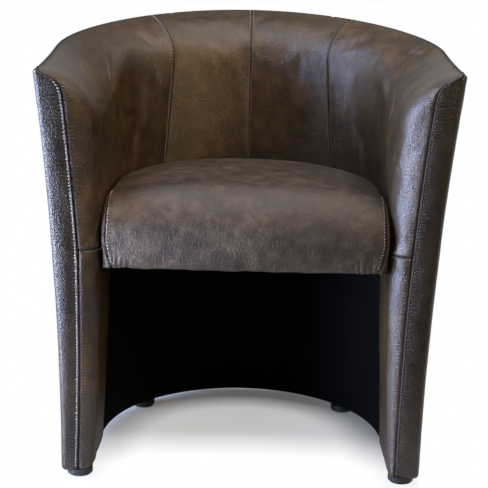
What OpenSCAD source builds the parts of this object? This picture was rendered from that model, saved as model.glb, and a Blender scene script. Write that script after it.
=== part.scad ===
// Upholstered tub chair: a flared horseshoe shell that stands on four glides, with a sprung seat
// carried on battens between its arms. Front is -Y, up is +Z, and the floor is z = 0.

/* [Overall] */
// Width across the arms at their front top corners
arm_width = 664; // [600:2:740]
// Width across the shell at the floor
floor_width = 590; // [530:5:650]
// Depth from the arm fronts to the back, at the top
overall_depth = 566; // [520:2:640]
// Height of the back at its middle
back_height = 758; // [700:2:840]
// Height of the arms at their front
arm_height = 670; // [600:2:700]
// How far the arm fronts lean forward between floor and top
front_lean = 26; // [0:1:50]
// How far the back leans backward between floor and top
back_lean = 43; // [0:1:80]

/* [Shell wall] */
// Upholstered thickness of the wall at the floor
wall_floor = 49; // [48:1:62]
// Upholstered thickness of the wall at the front top of the arms
wall_top = 93; // [80:1:110]
// Thickness of the studs, ribs and posts
stud_depth = 33; // [24:1:36]
// Thickness of the hardboard panels
board_thick = 3; // [2:0.5:4]
// Thickness of the fibre wadding under the outer covers
wadding_thick = 4.2; // [2:0.2:5]
// Thickness of the leather-look covers
cover_thick = 1.5; // [1:0.1:2.5]
// Thickness of the black lining and dust cloths
cloth_thick = 0.8; // [0.5:0.1:1.2]
// Height over which the rim rounds down into the inside
rim_round = 45; // [25:1:60]
// How far the top of the rim slopes down towards the inside
rim_slope = 26; // [0:1:40]
// Edge radius between the outside and the top of the rim
edge_round = 6; // [3:0.5:7]
// Outside corner radius of the arm fronts
corner_round = 8; // [7.5:0.5:14]
// Width of the flat band on the arm fronts, near the top
band_top = 43; // [34:1:46]
// Width of the left band at the floor
band_low_left = 28; // [22:1:42]
// Width of the right band at the floor
band_low_right = 40; // [22:1:42]
// Height of the seam between inside and leg covers above the seat's underside
belt_rise = 32; // [22:1:48]

/* [Frame] */
// Thickness of the base board, the seat rib and the top rail
ply_thick = 18; // [12:1:24]
// Depth of the front posts from front to back
post_depth = 44; // [34:1:60]
// Height of the seat rib above the floor
rib_height = 332; // [300:2:334]
// Depth of the chamfer on the inner front corner of the posts
post_chamfer = 24; // [20:1:30]

/* [Seat] */
// Height of the seat's underside
seat_bottom = 354; // [354:1:366]
// Height of the seat's top at its side edges
seat_edge = 466; // [455:1:480]
// Crown of the seat from side to side
crown_across = 11; // [4:1:20]
// Crown of the seat from front to back
crown_along = 9; // [4:1:20]
// Distance from the arm fronts back to the front of the seat
seat_setback = 28; // [15:1:60]
// Depth over which the front of the seat rolls down
roll_depth = 72; // [50:1:110]
// Height over which the front of the seat rolls down
roll_drop = 66; // [50:1:80]
// Gap between the seat and the arms
seat_gap = 3.5; // [2:0.5:8]
// Height of the seat frame rails
rail_height = 45; // [35:1:48]
// Thickness of the seat frame rails
rail_thick = 25; // [18:1:30]
// Wire diameter of the seat springs
wire_d = 3.4; // [2.8:0.1:4.2]
// Rise of the springs at the middle of the seat
spring_rise = 14; // [6:1:18]
// Thickness of the felt on the springs
felt_thick = 4; // [2:0.5:6]
// Height of the battens under the seat
batten_height = 22; // [18:1:22]
// Width of the battens
batten_width = 56; // [50:1:60]

/* [Glides and fasteners] */
// Diameter of the glides
glide_d = 42; // [34:1:48]
// Distance from the outside of the shell to the glide centres
glide_inset = 28; // [24:1:36]
// Height of the glides
glide_height = 13; // [8:1:20]
// Diameter of the nail in each glide
nail_d = 5; // [3:0.5:6]
// Length of the glide nails in the base board
nail_length = 14; // [10:1:16]
// Diameter of the seat bolts
bolt_d = 6; // [5:1:8]
// Length of the seat bolts
bolt_length = 50; // [40:1:56]
// Diameter of the seat bolt washers
washer_d = 18; // [14:1:24]
// Thickness of the seat bolt washers
washer_thick = 1.6; // [1:0.2:2]

/* [Hidden] */

LEATHER = "#4a3d35";
LEATHER_IN = "#574a40";
BLACK_CLOTH = "#1a1a1c";
FOAM = "#e8dcae";
WADDING = "#f1f1ee";
WOOD = "#c9a36b";
HARDBOARD = "#8d6a45";
STEEL = "#b4b7bb";
PLASTIC = "#161616";
FELT = "#77797c";

// Clearance between soft layers, between boards and timber, and how far a cut runs past its piece
fit_gap = 0.3;
joint_gap = 0.45;
overrun = 2;

// Shares that set the shape
rim_line_share = 0.44;      // part of the rim's rise that is a straight slope
bend_floor_share = -0.16;   // where the straight arms end at the floor, share of the depth
bend_top_share = -0.055;    // where they end at the top
corner_blend = 5;           // how squarely the rim rounding meets the front rounding
seam_low_share = 0.03;      // lean of the inside seams towards the back, at the seat
seam_high_share = 0.09;     // the same, added up to the rim

// Layers of the wall, measured inward from the outer face
wadding_out = cover_thick + fit_gap;
wadding_in = wadding_out + wadding_thick;
board_out = wadding_in + joint_gap + fit_gap;
stud_out = board_out + board_thick;
stud_in = stud_out + stud_depth;
board_in = stud_in + board_thick;
frame_out = stud_out + joint_gap;
frame_in = stud_in - joint_gap;
foam_out = board_in + 2 * fit_gap;
lining_in = foam_out + cloth_thick;
under_cover = cover_thick + fit_gap;
leg_end_depth = foam_out + under_cover + overrun;
frame_drop = edge_round + 20 * wall_top / 93;      // from the rim down to the frame
chamfer_back = board_out + post_chamfer;

// Spring clips
clip_width = 16;
clip_thick = 1.2;
clip_height = wire_d + fit_gap + clip_thick;

// Height of the seam between the inside covers and the leg covers
belt_z = seat_bottom + belt_rise;

// Layers at the floor
cover_z = glide_height + cloth_thick;
base_z = cover_z + cover_thick;
base_top = base_z + ply_thick;
rib_top = rib_height + ply_thick;

// Form of the shell
function mix(a, b, t) = a + (b - a) * t;
function steps(a, b, n) = [for (i = [0:n]) mix(a, b, i / n)];
function flip(list) = [for (i = [len(list) - 1:-1:0]) 4 - list[i]];
function corner(x, r) = x >= r ? 0 : r - sqrt(max(0, r * r - (r - x) * (r - x)));

function flare(z, top) = (z / top) * (z / top);
function half_width(z) = mix(floor_width, arm_width, flare(z, arm_height)) / 2;
function front_y(z) = front_lean * (1 - flare(z, arm_height)) - overall_depth / 2;
function back_y(z) = overall_depth / 2 - back_lean * (1 - flare(z, back_height));
function bend_y(z) = overall_depth * mix(bend_floor_share, bend_top_share, z / back_height);
function wall(z) = mix(wall_floor, wall_top, z / arm_height);
function band(z, side) = mix(side < 0 ? band_low_left : band_low_right, band_top, min(1, z / belt_z));

// Column u runs -1 to 0 over the left arm's front, 1 at its bend, 2 at the middle of the back, and
// 3, 4, 5 likewise on the right. fold() maps the right half on the left one.
function fold(u) = u > 2 ? 4 - u : u;
function side_of(u) = u > 2 ? 1 : -1;
function lean(f, z) =
    let (rise = max(0, (z - seat_edge) / (back_height - seat_edge)))
    f <= 1 ? f : f + (1 - abs(2 * f - 3)) * (seam_low_share + seam_high_share * rise);

// Point in column u at height z and depth d, for a front zone that is r deep
function shell_point(u, z, d, r) =
    let (f = lean(max(0, fold(u)), z), bend = bend_y(z), turn = 90 * (f - 1))
    f <= 1
        ? [side_of(u) * (half_width(z) - d), mix(front_y(z) + r, bend, f), z]
        : [side_of(u) * (half_width(z) - d) * cos(turn), bend + (back_y(z) - d - bend) * sin(turn), z];

// Height of the rim at y, and in column u for a front zone that is r deep
function rim_height(y) =
    let (t = max(0, y / overall_depth + 1 / 2))
    mix(arm_height, back_height, rim_line_share * t + (1 - rim_line_share) * t * t);
function rim(u, r) = rim_height(shell_point(u, back_height, 0, r)[1]);

// Rounding of the rim: angle 90 is where it starts on the inner face, edge_angle is its outer edge
full_drop = rim_round + rim_slope;
edge_angle = asin((edge_round + fit_gap) / wall_top);
function rim_angle(w) = mix(90, edge_angle, w);
function rim_drop(w, k) =
    k + (rim_round - k) * (1 - cos(rim_angle(w))) + rim_slope * (sin(rim_angle(w)) - sin(edge_angle));
rim_rows = [1 / 6, 1 / 3, 1 / 2, 2 / 3, 5 / 6, 0.93, 1];
top_size = wall(arm_height - full_drop) - band_top;
function arm_angle(u) = fold(u) < 0 ? 90 * (fold(u) + 1) : 90;
function inside_rim(u) =
    fold(u) < 0 ? rim_height(top_size * (1 - cos(arm_angle(u))) - overall_depth / 2) : rim(u, top_size);
function wall_at(u, z) = wall(min(z, inside_rim(u) - full_drop));

// Depth of the inner face in row w (0 below the rounding, 1 at its outer edge)
function front_size(z, side) = wall(z) - band(z, side);
function inner_depth(side, t, z, w, k, share) =
    let (
        reach = (t - k) * sin(rim_angle(w)),
        away = (t - k - band(z, side)) * share,
        least = mix(edge_round + fit_gap, corner_round + edge_round / 4, share)
    )
    let (blend = pow(t - k - reach, corner_blend) + pow(max(0, away), corner_blend))
    max(least, t - k - pow(blend, 1 / corner_blend));

// Point on the inner face, k under its surface, in column u and row w at height z
function inner_point(u, z, w, k) =
    let (
        f = fold(u),
        side = side_of(u),
        t = wall_at(u, z),
        size = front_size(min(z, arm_height - full_drop), side),
        angle = arm_angle(u),
        d = inner_depth(side, t, min(z, arm_height - full_drop), w, k, 1 - sin(angle)),
        p = shell_point(u, z, d, size)
    )
    f < 0
        ? [p[0], front_y(z) + k + corner(inside_rim(u) - z, edge_round) + (size - k) * (1 - cos(angle)), z]
        : p;

// Point on the outer face, e under its surface; the band on the arm front runs to the inside cover
function outer_point(u, z, w, e) =
    let (
        f = fold(u),
        side = side_of(u),
        p = shell_point(u, z, e, corner_round),
        low = min(z, arm_height - full_drop),
        edge = inner_depth(side, wall_at(u, z), low, w, 0, 1)
            - (e < wadding_out ? 2 * joint_gap : wadding_in),
        angle = 180 * (f + 1 / 2)
    )
    f >= 0 ? p
    : f < -1 / 2 ? [side * (half_width(z) - mix(corner_round, edge, -1 - 2 * f)), front_y(z) + e, z]
    : [
        side * (half_width(z) - corner_round + (corner_round - e) * sin(angle)),
        front_y(z) + corner_round - (corner_round - e) * cos(angle),
        z
    ];

// Solids made of points
function flat(grid) = [for (row = grid) for (p = row) p];
function quad(a, b, c, d) = [[a, b, c], [a, c, d]];

// Closed solid between two grids of points of the same size; rows go up and columns to the right
// half as seen from inside the shell
module skin(outer, inner) {
    rows = len(outer);
    cols = len(outer[0]);
    function o(r, c) = r * cols + c;
    function i(r, c) = (rows + r) * cols + c;
    faces = concat(
        [for (r = [0:rows - 2]) for (c = [0:cols - 2])
            each quad(o(r, c), o(r, c + 1), o(r + 1, c + 1), o(r + 1, c))],
        [for (r = [0:rows - 2]) for (c = [0:cols - 2])
            each quad(i(r, c), i(r + 1, c), i(r + 1, c + 1), i(r, c + 1))],
        [for (c = [0:cols - 2]) each quad(o(0, c + 1), o(0, c), i(0, c), i(0, c + 1))],
        [for (c = [0:cols - 2])
            each quad(o(rows - 1, c), o(rows - 1, c + 1), i(rows - 1, c + 1), i(rows - 1, c))],
        [for (r = [0:rows - 2]) each quad(o(r + 1, 0), i(r + 1, 0), i(r, 0), o(r, 0))],
        [for (r = [0:rows - 2])
            each quad(o(r + 1, cols - 1), o(r, cols - 1), i(r, cols - 1), i(r + 1, cols - 1))]
    );
    polyhedron(points = concat(flat(outer), flat(inner)), faces = faces, convexity = 8);
}

// Slab between depths d0 and d1 from height z0 up to drop h under the rim
module rim_slab(columns, d0, d1, z0, h, rows, r) {
    function grid(d) = [
        for (v = steps(0, 1, rows)) [for (u = columns) shell_point(u, mix(z0, rim(u, r) - h, v), d, r)]
    ];
    skin(grid(d0), grid(d1));
}

// Slab between depths d0 and d1 from height z0 to height z1
module level_slab(columns, d0, d1, z0, z1, rows, r) {
    function grid(d) = [for (z = steps(z0, z1, rows)) [for (u = columns) shell_point(u, z, d, r)]];
    skin(grid(d0), grid(d1));
}

bend_cols = steps(1.1, 1.5, 4);
straight_cols = [0, 1 / 3, 2 / 3, 1];

// Level outline of the frame at height z between two depths, open to the front
function ring(z, d0, d1, columns, r) = concat(
    [for (u = columns) shell_point(u, z, d0, r)],
    [for (i = [len(columns) - 1:-1:0]) shell_point(columns[i], z, d1, r)]
);
function plan(points) = [for (p = points) [p[0], p[1]]];
ring_cols = concat([0], steps(1, 3, 20), [4]);

module base_board() color(WOOD) difference() {
    z = base_z + ply_thick / 2;
    front = front_y(z) + board_out;
    translate([0, 0, base_z])
        linear_extrude(ply_thick)
            polygon(concat(
                [[-half_width(z) + frame_out, front]],
                [for (u = ring_cols) if (u > 0 && u < 4)
                    let (p = shell_point(u, z, frame_out, 0)) [p[0], p[1]]],
                [[half_width(z) - frame_out, front], [half_width(z) - front_inset(z, 1), front]],
                plan([for (i = [len(ring_cols) - 1:-1:0])
                    shell_point(ring_cols[i], z, frame_in, chamfer_back)]),
                [[-half_width(z) + front_inset(z, -1), front]]
            ));
    for (p = glide_points) translate([p[0], p[1], base_z - overrun])
        cylinder(d = nail_d, h = nail_length + overrun, $fn = 32);
}
function front_inset(z, side) = min(frame_in, band(z, side)) - overrun;

module seat_rib() color(WOOD) {
    z = rib_height + ply_thick / 2;
    translate([0, 0, rib_height])
        linear_extrude(ply_thick)
            polygon(plan(ring(z, frame_out + fit_gap, frame_in - joint_gap, ring_cols,
                board_out + post_depth + joint_gap)));
}

module top_rail() {
    cols = concat([0, 1 / 3, 2 / 3], steps(1, 3, 20), [10 / 3, 11 / 3, 4]);
    function grid(d) = [for (h = [frame_drop + ply_thick, frame_drop]) [
        for (u = cols) shell_point(u, rim(u, board_out) - h, d, board_out)]];
    color(WOOD) skin(grid(frame_out), grid(frame_in));
}

module front_post(side) {
    ks = [board_out, chamfer_back, board_out + post_depth];
    u = side < 0 ? 0 : 4;
    top = rim(u, board_out) - frame_drop - ply_thick - joint_gap;
    order = side < 0 ? [0, 1, 2] : [2, 1, 0];
    function grid(inner) = [for (z = steps(base_top, top, 6)) [for (i = order)
        let (d = inner ? (i == 0 ? front_inset(z, side) : frame_in) : frame_out)
        [side * (half_width(z) - d), front_y(z) + ks[i], z]]];
    color(WOOD) skin(grid(false), grid(true));
}

module lower_stud(u) color(WOOD)
    level_slab([u, u + 0.1], frame_out, frame_in, base_top, rib_height, 3, 0);
module upper_stud(u) color(WOOD)
    rim_slab([u, u + 0.1], frame_out, frame_in, rib_top, frame_drop + ply_thick + joint_gap, 4, 0);

// Hardboard on both sides of the frame
board_left = concat(straight_cols, [1.1, 1.2]);
board_back = steps(1.2, 2.8, 16);

module outer_board(columns) color(HARDBOARD)
    rim_slab(columns, board_out, stud_out, base_z, frame_drop, 7, board_out + overrun);
module inner_board(columns) color(HARDBOARD)
    rim_slab(columns, stud_in, board_in, base_z, frame_drop, 7, chamfer_back);

// Padding
wadding_cols = concat(
    [-1, -0.75, -0.5, -0.25, 0, 1 / 3, 2 / 3], steps(1, 3, 20), [10 / 3, 11 / 3, 4, 4.25, 4.5, 4.75, 5]);

module outer_wadding() {
    rows = concat([for (v = steps(0, 1, 6)) [v, 0]], [for (w = [1 / 4, 1 / 2]) [1, w]]);
    function grid(e) = [for (row = rows) [for (u = wadding_cols)
        let (top = rim(u, corner_round),
             z = row[1] > 0 ? top - rim_drop(row[1], 0) : mix(cover_z + edge_round, top - full_drop, row[0]))
        outer_point(u, z, row[1], e)]];
    color(WADDING) skin(grid(wadding_out), grid(wadding_in));
}

// Height and row value of the inside surface: v runs up the flat part, w over the rim
function inside_rows(n) = concat([for (v = steps(0, 1, n)) [v, 0]], [for (w = rim_rows) [1, w]]);
function row_z(u, row, z0, k) =
    row[1] > 0 ? inside_rim(u) - rim_drop(row[1], k) : mix(z0, inside_rim(u) - full_drop, row[0]);

// Where the padding lies on the frame: up the hardboard, then over the top rail
function frame_point(u, z, row, size) =
    let (
        f = fold(u),
        side = side_of(u),
        w = row[1],
        over = w <= 1 / 3 ? 0 : (w - 1 / 3) * 3 / 2,
        high = inside_rim(u) - frame_drop + joint_gap,
        zz = w == 0 ? z : min(high, mix(inside_rim(u) - full_drop, high, w * 3)),
        side_d = mix(foam_out, stud_out, over),
        start = f < 0 ? mix(foam_out, band(min(zz, arm_height - full_drop), side), -f) : foam_out,
        d = board_out + (side_d - board_out) * (start - board_out) / (foam_out - board_out),
        p = shell_point(u, zz, d, size)
    )
    f < 0 ? [p[0], front_y(zz) + mix(chamfer_back, board_out - fit_gap, -f), zz] : p;

module shell_foam(columns) color(FOAM) {
    rows = inside_rows(5);
    outer = [for (row = rows) [for (u = columns)
        inner_point(u, row_z(u, row, belt_z, under_cover), row[1], under_cover)]];
    frame = [for (row = rows) [for (u = columns)
        let (f = fold(u), z = row_z(u, row, belt_z, under_cover))
        frame_point(u, z, row, max(chamfer_back, front_size(min(z, arm_height - full_drop), side_of(u))))]];
    skin(frame, outer);
}

front_cols = [-1, -5 / 6, -2 / 3, -1 / 2, -1 / 3, -1 / 6];
arm_cols = concat(front_cols, straight_cols, bend_cols);
back_cols = steps(1.5, 2.5, 10);

// Leg padding and covers: as the inside, thinning out towards their rear ends
leg_cols = concat(front_cols, [0, 1 / 3, 2 / 3, 0.85, 0.97]);
function leg_point(u, z, k) =
    let (f = fold(u), p = inner_point(u, z, 0, k), thin = max(0, (f - 0.85) / 0.12))
    [p[0] + side_of(u) * thin * (wall(z) - leg_end_depth), p[1], z];
module leg_foam(columns) color(FOAM) {
    rows = steps(base_z, belt_z - fit_gap, 5);
    outer = [for (z = rows) [for (u = columns) leg_point(u, z, under_cover)]];
    frame = [for (z = rows) [for (u = columns)
        frame_point(u, z, [0, 0], max(chamfer_back, front_size(z, side_of(u))))]];
    skin(frame, outer);
}

// Covers of the outside and the inside
module outer_cover(columns) {
    rows = concat([[0, -2], [0, -1]], [for (v = steps(0, 1, 6)) [v, 0]], [for (w = rim_rows) [1, w]]);
    function point(u, row, e) =
        let (
            top = rim(u, corner_round),
            low = cover_z + (row[1] == -2 ? e : edge_round / 2),
            w = row[1],
            z = w > 0 ? top - (w == 1 ? e : max(e, rim_drop(w, 0)))
                : w < 0 ? low : mix(cover_z + edge_round, top - full_drop, row[0]),
            roll = w > 0 ? corner(top - z - e, edge_round - e) : corner(z - cover_z - e, edge_round - e)
        )
        outer_point(u, z, max(0, w), e + roll);
    color(LEATHER) skin([for (row = rows) [for (u = columns) point(u, row, 0)]],
        [for (row = rows) [for (u = columns) point(u, row, cover_thick)]]);
}
outer_left = concat([-1, -0.75, -0.5, -1 / 3, -1 / 6], straight_cols, steps(1.1, 1.6, 5));

module inner_cover(columns) {
    rows = inside_rows(5);
    function grid(k) = [for (row = rows) [for (u = columns)
        inner_point(u, row_z(u, row, belt_z + fit_gap, k), row[1], k)]];
    color(LEATHER_IN) skin(grid(cover_thick), grid(0));
}

module leg_cover(columns) {
    rows = concat([cover_z], steps(base_z, belt_z - fit_gap, 5));
    function grid(k) = [for (z = rows) [for (u = columns) leg_point(u, z, k)]];
    color(LEATHER_IN) skin(grid(cover_thick), grid(0));
}

module leg_lining() color(BLACK_CLOTH)
    level_slab(concat([1], steps(1.1, 2.9, 18), [3]), foam_out, lining_in, base_z, belt_z - fit_gap, 4, 0);

module underside_cloth() color(BLACK_CLOTH) {
    z = base_z;
    margin = edge_round;
    difference() {
        translate([0, 0, glide_height])
            linear_extrude(cloth_thick)
                polygon(plan(ring(z, margin, wall_floor - margin, ring_cols, 2 * margin)));
        for (p = glide_points) translate([p[0], p[1], 0]) cylinder(d = nail_d, h = base_top, $fn = 32);
    }
}

// Seat with its frame, springs and covers
seat_z = (seat_bottom + seat_edge) / 2;
seat_half = half_width(seat_z) - wall(seat_z) - seat_gap;
seat_bend = bend_y(seat_z);
seat_back = back_y(seat_z) - wall(seat_z) - seat_gap;
seat_front = seat_setback - overall_depth / 2;
seat_side_in = cover_thick + overrun;       // from the seat's side to its rails

function seat_y(x, inset) =
    let (a = seat_half - inset, b = seat_back - seat_bend - inset)
    seat_bend + b * sqrt(max(0, 1 - x * x / (a * a)));
function seat_arc(inset, n) = [for (t = steps(0, 180, n))
    [-(seat_half - inset) * cos(t), seat_bend + (seat_back - seat_bend - inset) * sin(t)]];

// Seat surface: column t across (degrees, 0 left to 180 right), row v along the top (0 back to 1),
// over the roll (1 to 2) and down the front (2 to 3)
function seat_top_z(x, y) =
    let (u = x / seat_half, mid = (seat_back + seat_front) / 2, v = (y - mid) / (seat_back - mid))
    seat_edge + crown_across * (1 - u * u) + crown_along * (1 - v * v) * (1 - u * u * u * u);
function seat_point(t, v, k) =
    let (
        x = -(seat_half - k) * cos(t),
        roll_y = seat_front + roll_depth,
        back = seat_bend + (seat_back - seat_bend - k) * sin(t),
        y = v <= 1 ? mix(back, roll_y, v) : roll_y,
        top = seat_top_z(x, roll_y),
        a = 90 * (min(v, 2) - 1)
    )
    v <= 1 ? [x, y, seat_top_z(x, y) - k]
    : v <= 2 ? [x, roll_y - (roll_depth - k) * sin(a), top - roll_drop + (roll_drop - k) * cos(a)]
    : [x, seat_front + k, mix(top - roll_drop, seat_bottom, v - 2)];
seat_rows = concat(steps(0, 1, 5), steps(1.2, 2, 4), [2.5, 3]);
seat_cols = steps(0, 180, 20);

// The body of the seat under the covers
module seat_foam() color(FOAM) {
    outer = [for (v = seat_rows) [for (t = seat_cols) seat_point(t, v, under_cover + cover_thick)]];
    low = [for (v = seat_rows) [for (t = seat_cols)
        let (p = seat_point(t, v, under_cover + cover_thick),
             bed = felt_z(p[0], p[1]) + felt_thick + 2 * joint_gap)
        v <= 1 ? [p[0], p[1], bed]
        : [p[0], seat_front + seat_pad,
            v <= 2 ? mix(bed, rail_top, v - 1) : mix(rail_top, seat_bottom, v - 2)]
    ]];
    skin(outer, low);
}
rail_top = seat_bottom + cloth_thick + cover_thick + rail_height;
seat_pad = 14 * roll_depth / 72;        // foam in front of the front rail
function spring_arch(x, y) =
    let (a = spring_start, b = spring_end(x), t = min(1, max(0, (y - a) / (b - a))), u = x / seat_half)
    spring_rise * 4 * t * (1 - t) * (1 - u * u);
function felt_z(x, y) = rail_top + clip_height + fit_gap + spring_arch(x, y);

module seat_cover() {
    function grid(k) = [for (v = seat_rows) [for (t = seat_cols) seat_point(t, v, k)]];
    color(LEATHER_IN) skin(grid(0), grid(cover_thick));
}

// Side and back strip under the edge of the top cover, from its left front round to its right front
module seat_boxing() {
    roll_y = seat_front + roll_depth;
    side_z = seat_top_z(seat_half, roll_y);
    fronts = [for (v = seat_rows) if (v > 1 && v <= 2) 90 * (v - 1)];
    function front_point(a, side, k) = [
        side * (seat_half - k),
        roll_y - (roll_depth - under_cover) * sin(a),
        side_z - roll_drop + (roll_drop - under_cover) * cos(a) - fit_gap
    ];
    function column(k) = concat(
        [for (i = [len(fronts) - 1:-1:0]) front_point(fronts[i], -1, k)],
        [front_point(0, -1, k)],
        [for (p = seat_arc(k, 20)) [p[0], p[1], seat_top_z(p[0], p[1]) - under_cover - fit_gap]],
        [front_point(0, 1, k)],
        [for (a = fronts) front_point(a, 1, k)]
    );
    function grid(k) = [for (v = steps(0, 1, 2))
        [for (p = column(k)) [p[0], p[1], mix(seat_bottom, p[2], v)]]];
    color(LEATHER_IN) skin(grid(0), grid(cover_thick));
}

rail_z = seat_bottom + cloth_thick;
rail_front = seat_front + seat_pad;

module seat_front_rail() color(WOOD)
    translate([-(seat_half - seat_side_in), rail_front + fit_gap, rail_z])
        cube([2 * (seat_half - seat_side_in), rail_thick, rail_height]);

module seat_rail(side) color(WOOD) difference() {
    front = rail_front + rail_thick + fit_gap;
    translate([side < 0 ? -(seat_half - seat_side_in) : seat_half - seat_side_in - rail_thick, front, rail_z])
        cube([rail_thick, seat_bend - front, rail_height]);
    bolt_holes();
}

module seat_rear_rail() color(WOOD) difference() {
    translate([0, 0, rail_z])
        linear_extrude(rail_height)
            polygon(concat(seat_arc(seat_side_in, 20),
                [for (i = [20:-1:0]) seat_arc(seat_side_in + rail_thick, 20)[i]]));
    bolt_holes();
}

module seat_corner_blocks() color(WOOD) {
    size = 2 * rail_thick;
    for (side = [-1, 1])
        translate([side * (seat_half - seat_side_in - rail_thick), rail_front + fit_gap + rail_thick, rail_z])
        linear_extrude(rail_height - wire_d * 2)
            polygon([[0, 0], [-side * size, 0], [0, size]]);
}

// Sinuous springs from the front rail to the rear rail
spring_count = 4;
spring_step = 2 * seat_half / (spring_count + 1);
spring_xs = [for (i = [0:spring_count - 1]) (i - (spring_count - 1) / 2) * spring_step];
spring_half = spring_step * 0.28;
spring_start = rail_front + fit_gap + rail_thick / 2;
function spring_end(x) = seat_y(x, seat_side_in + rail_thick / 2);
function spring_path(x) =
    let (a = spring_start, b = spring_end(x), waves = round((b - a) / (spring_pitch_share * spring_half)))
    [for (t = steps(0, 1, waves * 6))
        let (y = mix(a, b, t), ramp = min(1, 3 * waves * t, 3 * waves * (1 - t)))
        [x + spring_half * ramp * sin(360 * waves * t), y,
            rail_top + wire_d / 2 + fit_gap / 2 + spring_arch(x, y)]];
spring_pitch_share = 3.4;

// Wire with a five-sided section along a path
module wire(path, d) {
    sides = 5;
    n = len(path);
    function ahead(i) = path[min(n - 1, i + 1)] - path[max(0, i - 1)];
    points = [for (i = [0:n - 1])
        let (t = ahead(i) / norm(ahead(i)),
             s = cross(t, [0, 0, 1]) / norm(cross(t, [0, 0, 1])), v = cross(s, t))
        each [for (k = [0:sides - 1])
            path[i] + d / 2 * (cos(360 * k / sides) * s + sin(360 * k / sides) * v)]];
    faces = concat(
        [[for (k = [0:sides - 1]) k]],
        [for (i = [0:n - 2]) for (k = [0:sides - 1])
            each quad(i * sides + k, (i + 1) * sides + k,
                (i + 1) * sides + (k + 1) % sides, i * sides + (k + 1) % sides)],
        [[for (k = [sides - 1:-1:0]) (n - 1) * sides + k]]
    );
    polyhedron(points = points, faces = faces, convexity = 6);
}
module seat_springs() color(STEEL)
    for (x = spring_xs) wire(spring_path(x), wire_d);

module spring_clips() color(STEEL)
    for (x = spring_xs) for (y = [spring_start, spring_end(x)])
        translate([x - clip_width / 2, y - wire_d, rail_top]) difference() {
            cube([clip_width, 2 * wire_d, clip_height]);
            translate([(clip_width - 3 * wire_d) / 2, -overrun, -overrun])
                cube([3 * wire_d, 2 * wire_d + 2 * overrun, wire_d + fit_gap + overrun]);
        }

module spring_felt() {
    cols = steps(9, 171, 18);
    function grid(k) = [for (v = steps(0, 1, 8)) [for (t = cols)
        let (x = -(seat_half - seat_side_in) * cos(t),
             y = mix(seat_y(x, seat_side_in + rail_thick / 2), rail_front + rail_thick / 3, v))
        [x, y, felt_z(x, y) + k]]];
    color(FELT) skin(grid(felt_thick), grid(0));
}

module seat_dust_cloth() color(BLACK_CLOTH) difference() {
    inset = seat_side_in + cover_thick;
    translate([0, 0, seat_bottom])
        linear_extrude(cloth_thick)
            polygon(concat([[-(seat_half - inset), rail_front + cover_thick]], seat_arc(inset, 20),
                [[seat_half - inset, rail_front + cover_thick]]));
    bolt_holes();
}

// Battens that carry the seat, and their bolts
batten_z = seat_bottom - batten_height;
batten_mid = batten_z + batten_height / 2;
bolt_spots = [for (i = [1, 3, 8, 12, 17, 19]) seat_arc(seat_side_in + rail_thick / 2, 20)[i]];
module bolt_holes()
    for (p = bolt_spots) translate([p[0], p[1], batten_z - overrun])
        cylinder(d = bolt_d + fit_gap, h = bolt_length + overrun, $fn = 32);

// Columns under the seat where each batten runs along the lining
module batten(columns) color(WOOD) difference() {
    translate([0, 0, batten_z])
        linear_extrude(batten_height)
            polygon(plan(ring(batten_mid, lining_in + 2 * fit_gap, lining_in + batten_width, columns, 0)));
    bolt_holes();
}

module seat_bolts() color(STEEL)
    for (p = bolt_spots) translate([p[0], p[1], batten_z - washer_thick]) {
        cylinder(d = bolt_d, h = bolt_length, $fn = 32);
        translate([0, 0, -bolt_d * 2 / 3]) cylinder(d = bolt_d * 5 / 3, h = bolt_d * 2 / 3, $fn = 6);
    }
module bolt_washers() color(STEEL)
    for (p = bolt_spots) translate([p[0], p[1], batten_z - washer_thick]) difference() {
        cylinder(d = washer_d, h = washer_thick, $fn = 48);
        translate([0, 0, -overrun]) cylinder(d = bolt_d + fit_gap, h = washer_thick + 2 * overrun, $fn = 32);
    }

// Glides under the arms and the back
glide_front_y = front_y(0) + glide_d / 2 + corner_round / 2;
glide_points = [
    for (u = [0, 4]) let (p = shell_point(u, base_z, glide_inset, 0)) [p[0], glide_front_y],
    for (u = [1.46, 2.54]) let (p = shell_point(u, base_z, glide_inset, 0)) [p[0], p[1]]
];
module glide(i) color(PLASTIC)
    translate([glide_points[i][0], glide_points[i][1], 0])
        rotate_extrude($fn = 64) {
            edge = glide_height / 4;
            difference() {
                square([glide_d / 2, glide_height]);
                translate([glide_d / 2, 0]) rotate(45) square(edge * sqrt(2), center = true);
                square([nail_d / 2, glide_height + overrun]);
            }
        }
module glide_nails() color(STEEL)
    for (p = glide_points) translate([p[0], p[1], glide_height / 4])
        cylinder(d = nail_d, h = glide_height * 3 / 4 + cloth_thick + cover_thick + nail_length, $fn = 32);

// One line for each node
base_board();
seat_rib();
top_rail();
front_post(-1);  // front_post_left
front_post(1);  // front_post_right
lower_stud(1.1);  // lower_stud_left
lower_stud(1.6);  // lower_stud_rear_left
lower_stud(2.3);  // lower_stud_rear_right
lower_stud(2.8);  // lower_stud_right
upper_stud(1.1);  // upper_stud_left
upper_stud(1.6);  // upper_stud_rear_left
upper_stud(2.3);  // upper_stud_rear_right
upper_stud(2.8);  // upper_stud_right
outer_board(board_left);  // outer_board_left
outer_board(board_back);  // outer_board_back
outer_board(flip(board_left));  // outer_board_right
inner_board(board_left);  // inner_board_left
inner_board(board_back);  // inner_board_back
inner_board(flip(board_left));  // inner_board_right
outer_wadding();
shell_foam(arm_cols);  // arm_foam_left
shell_foam(back_cols);  // back_foam
shell_foam(flip(arm_cols));  // arm_foam_right
leg_foam(leg_cols);  // leg_foam_left
leg_foam(flip(leg_cols));  // leg_foam_right
outer_cover(outer_left);  // outer_cover_left
outer_cover(steps(1.6, 2.4, 8));  // outer_cover_back
outer_cover(flip(outer_left));  // outer_cover_right
inner_cover(arm_cols);  // inner_cover_left
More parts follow.
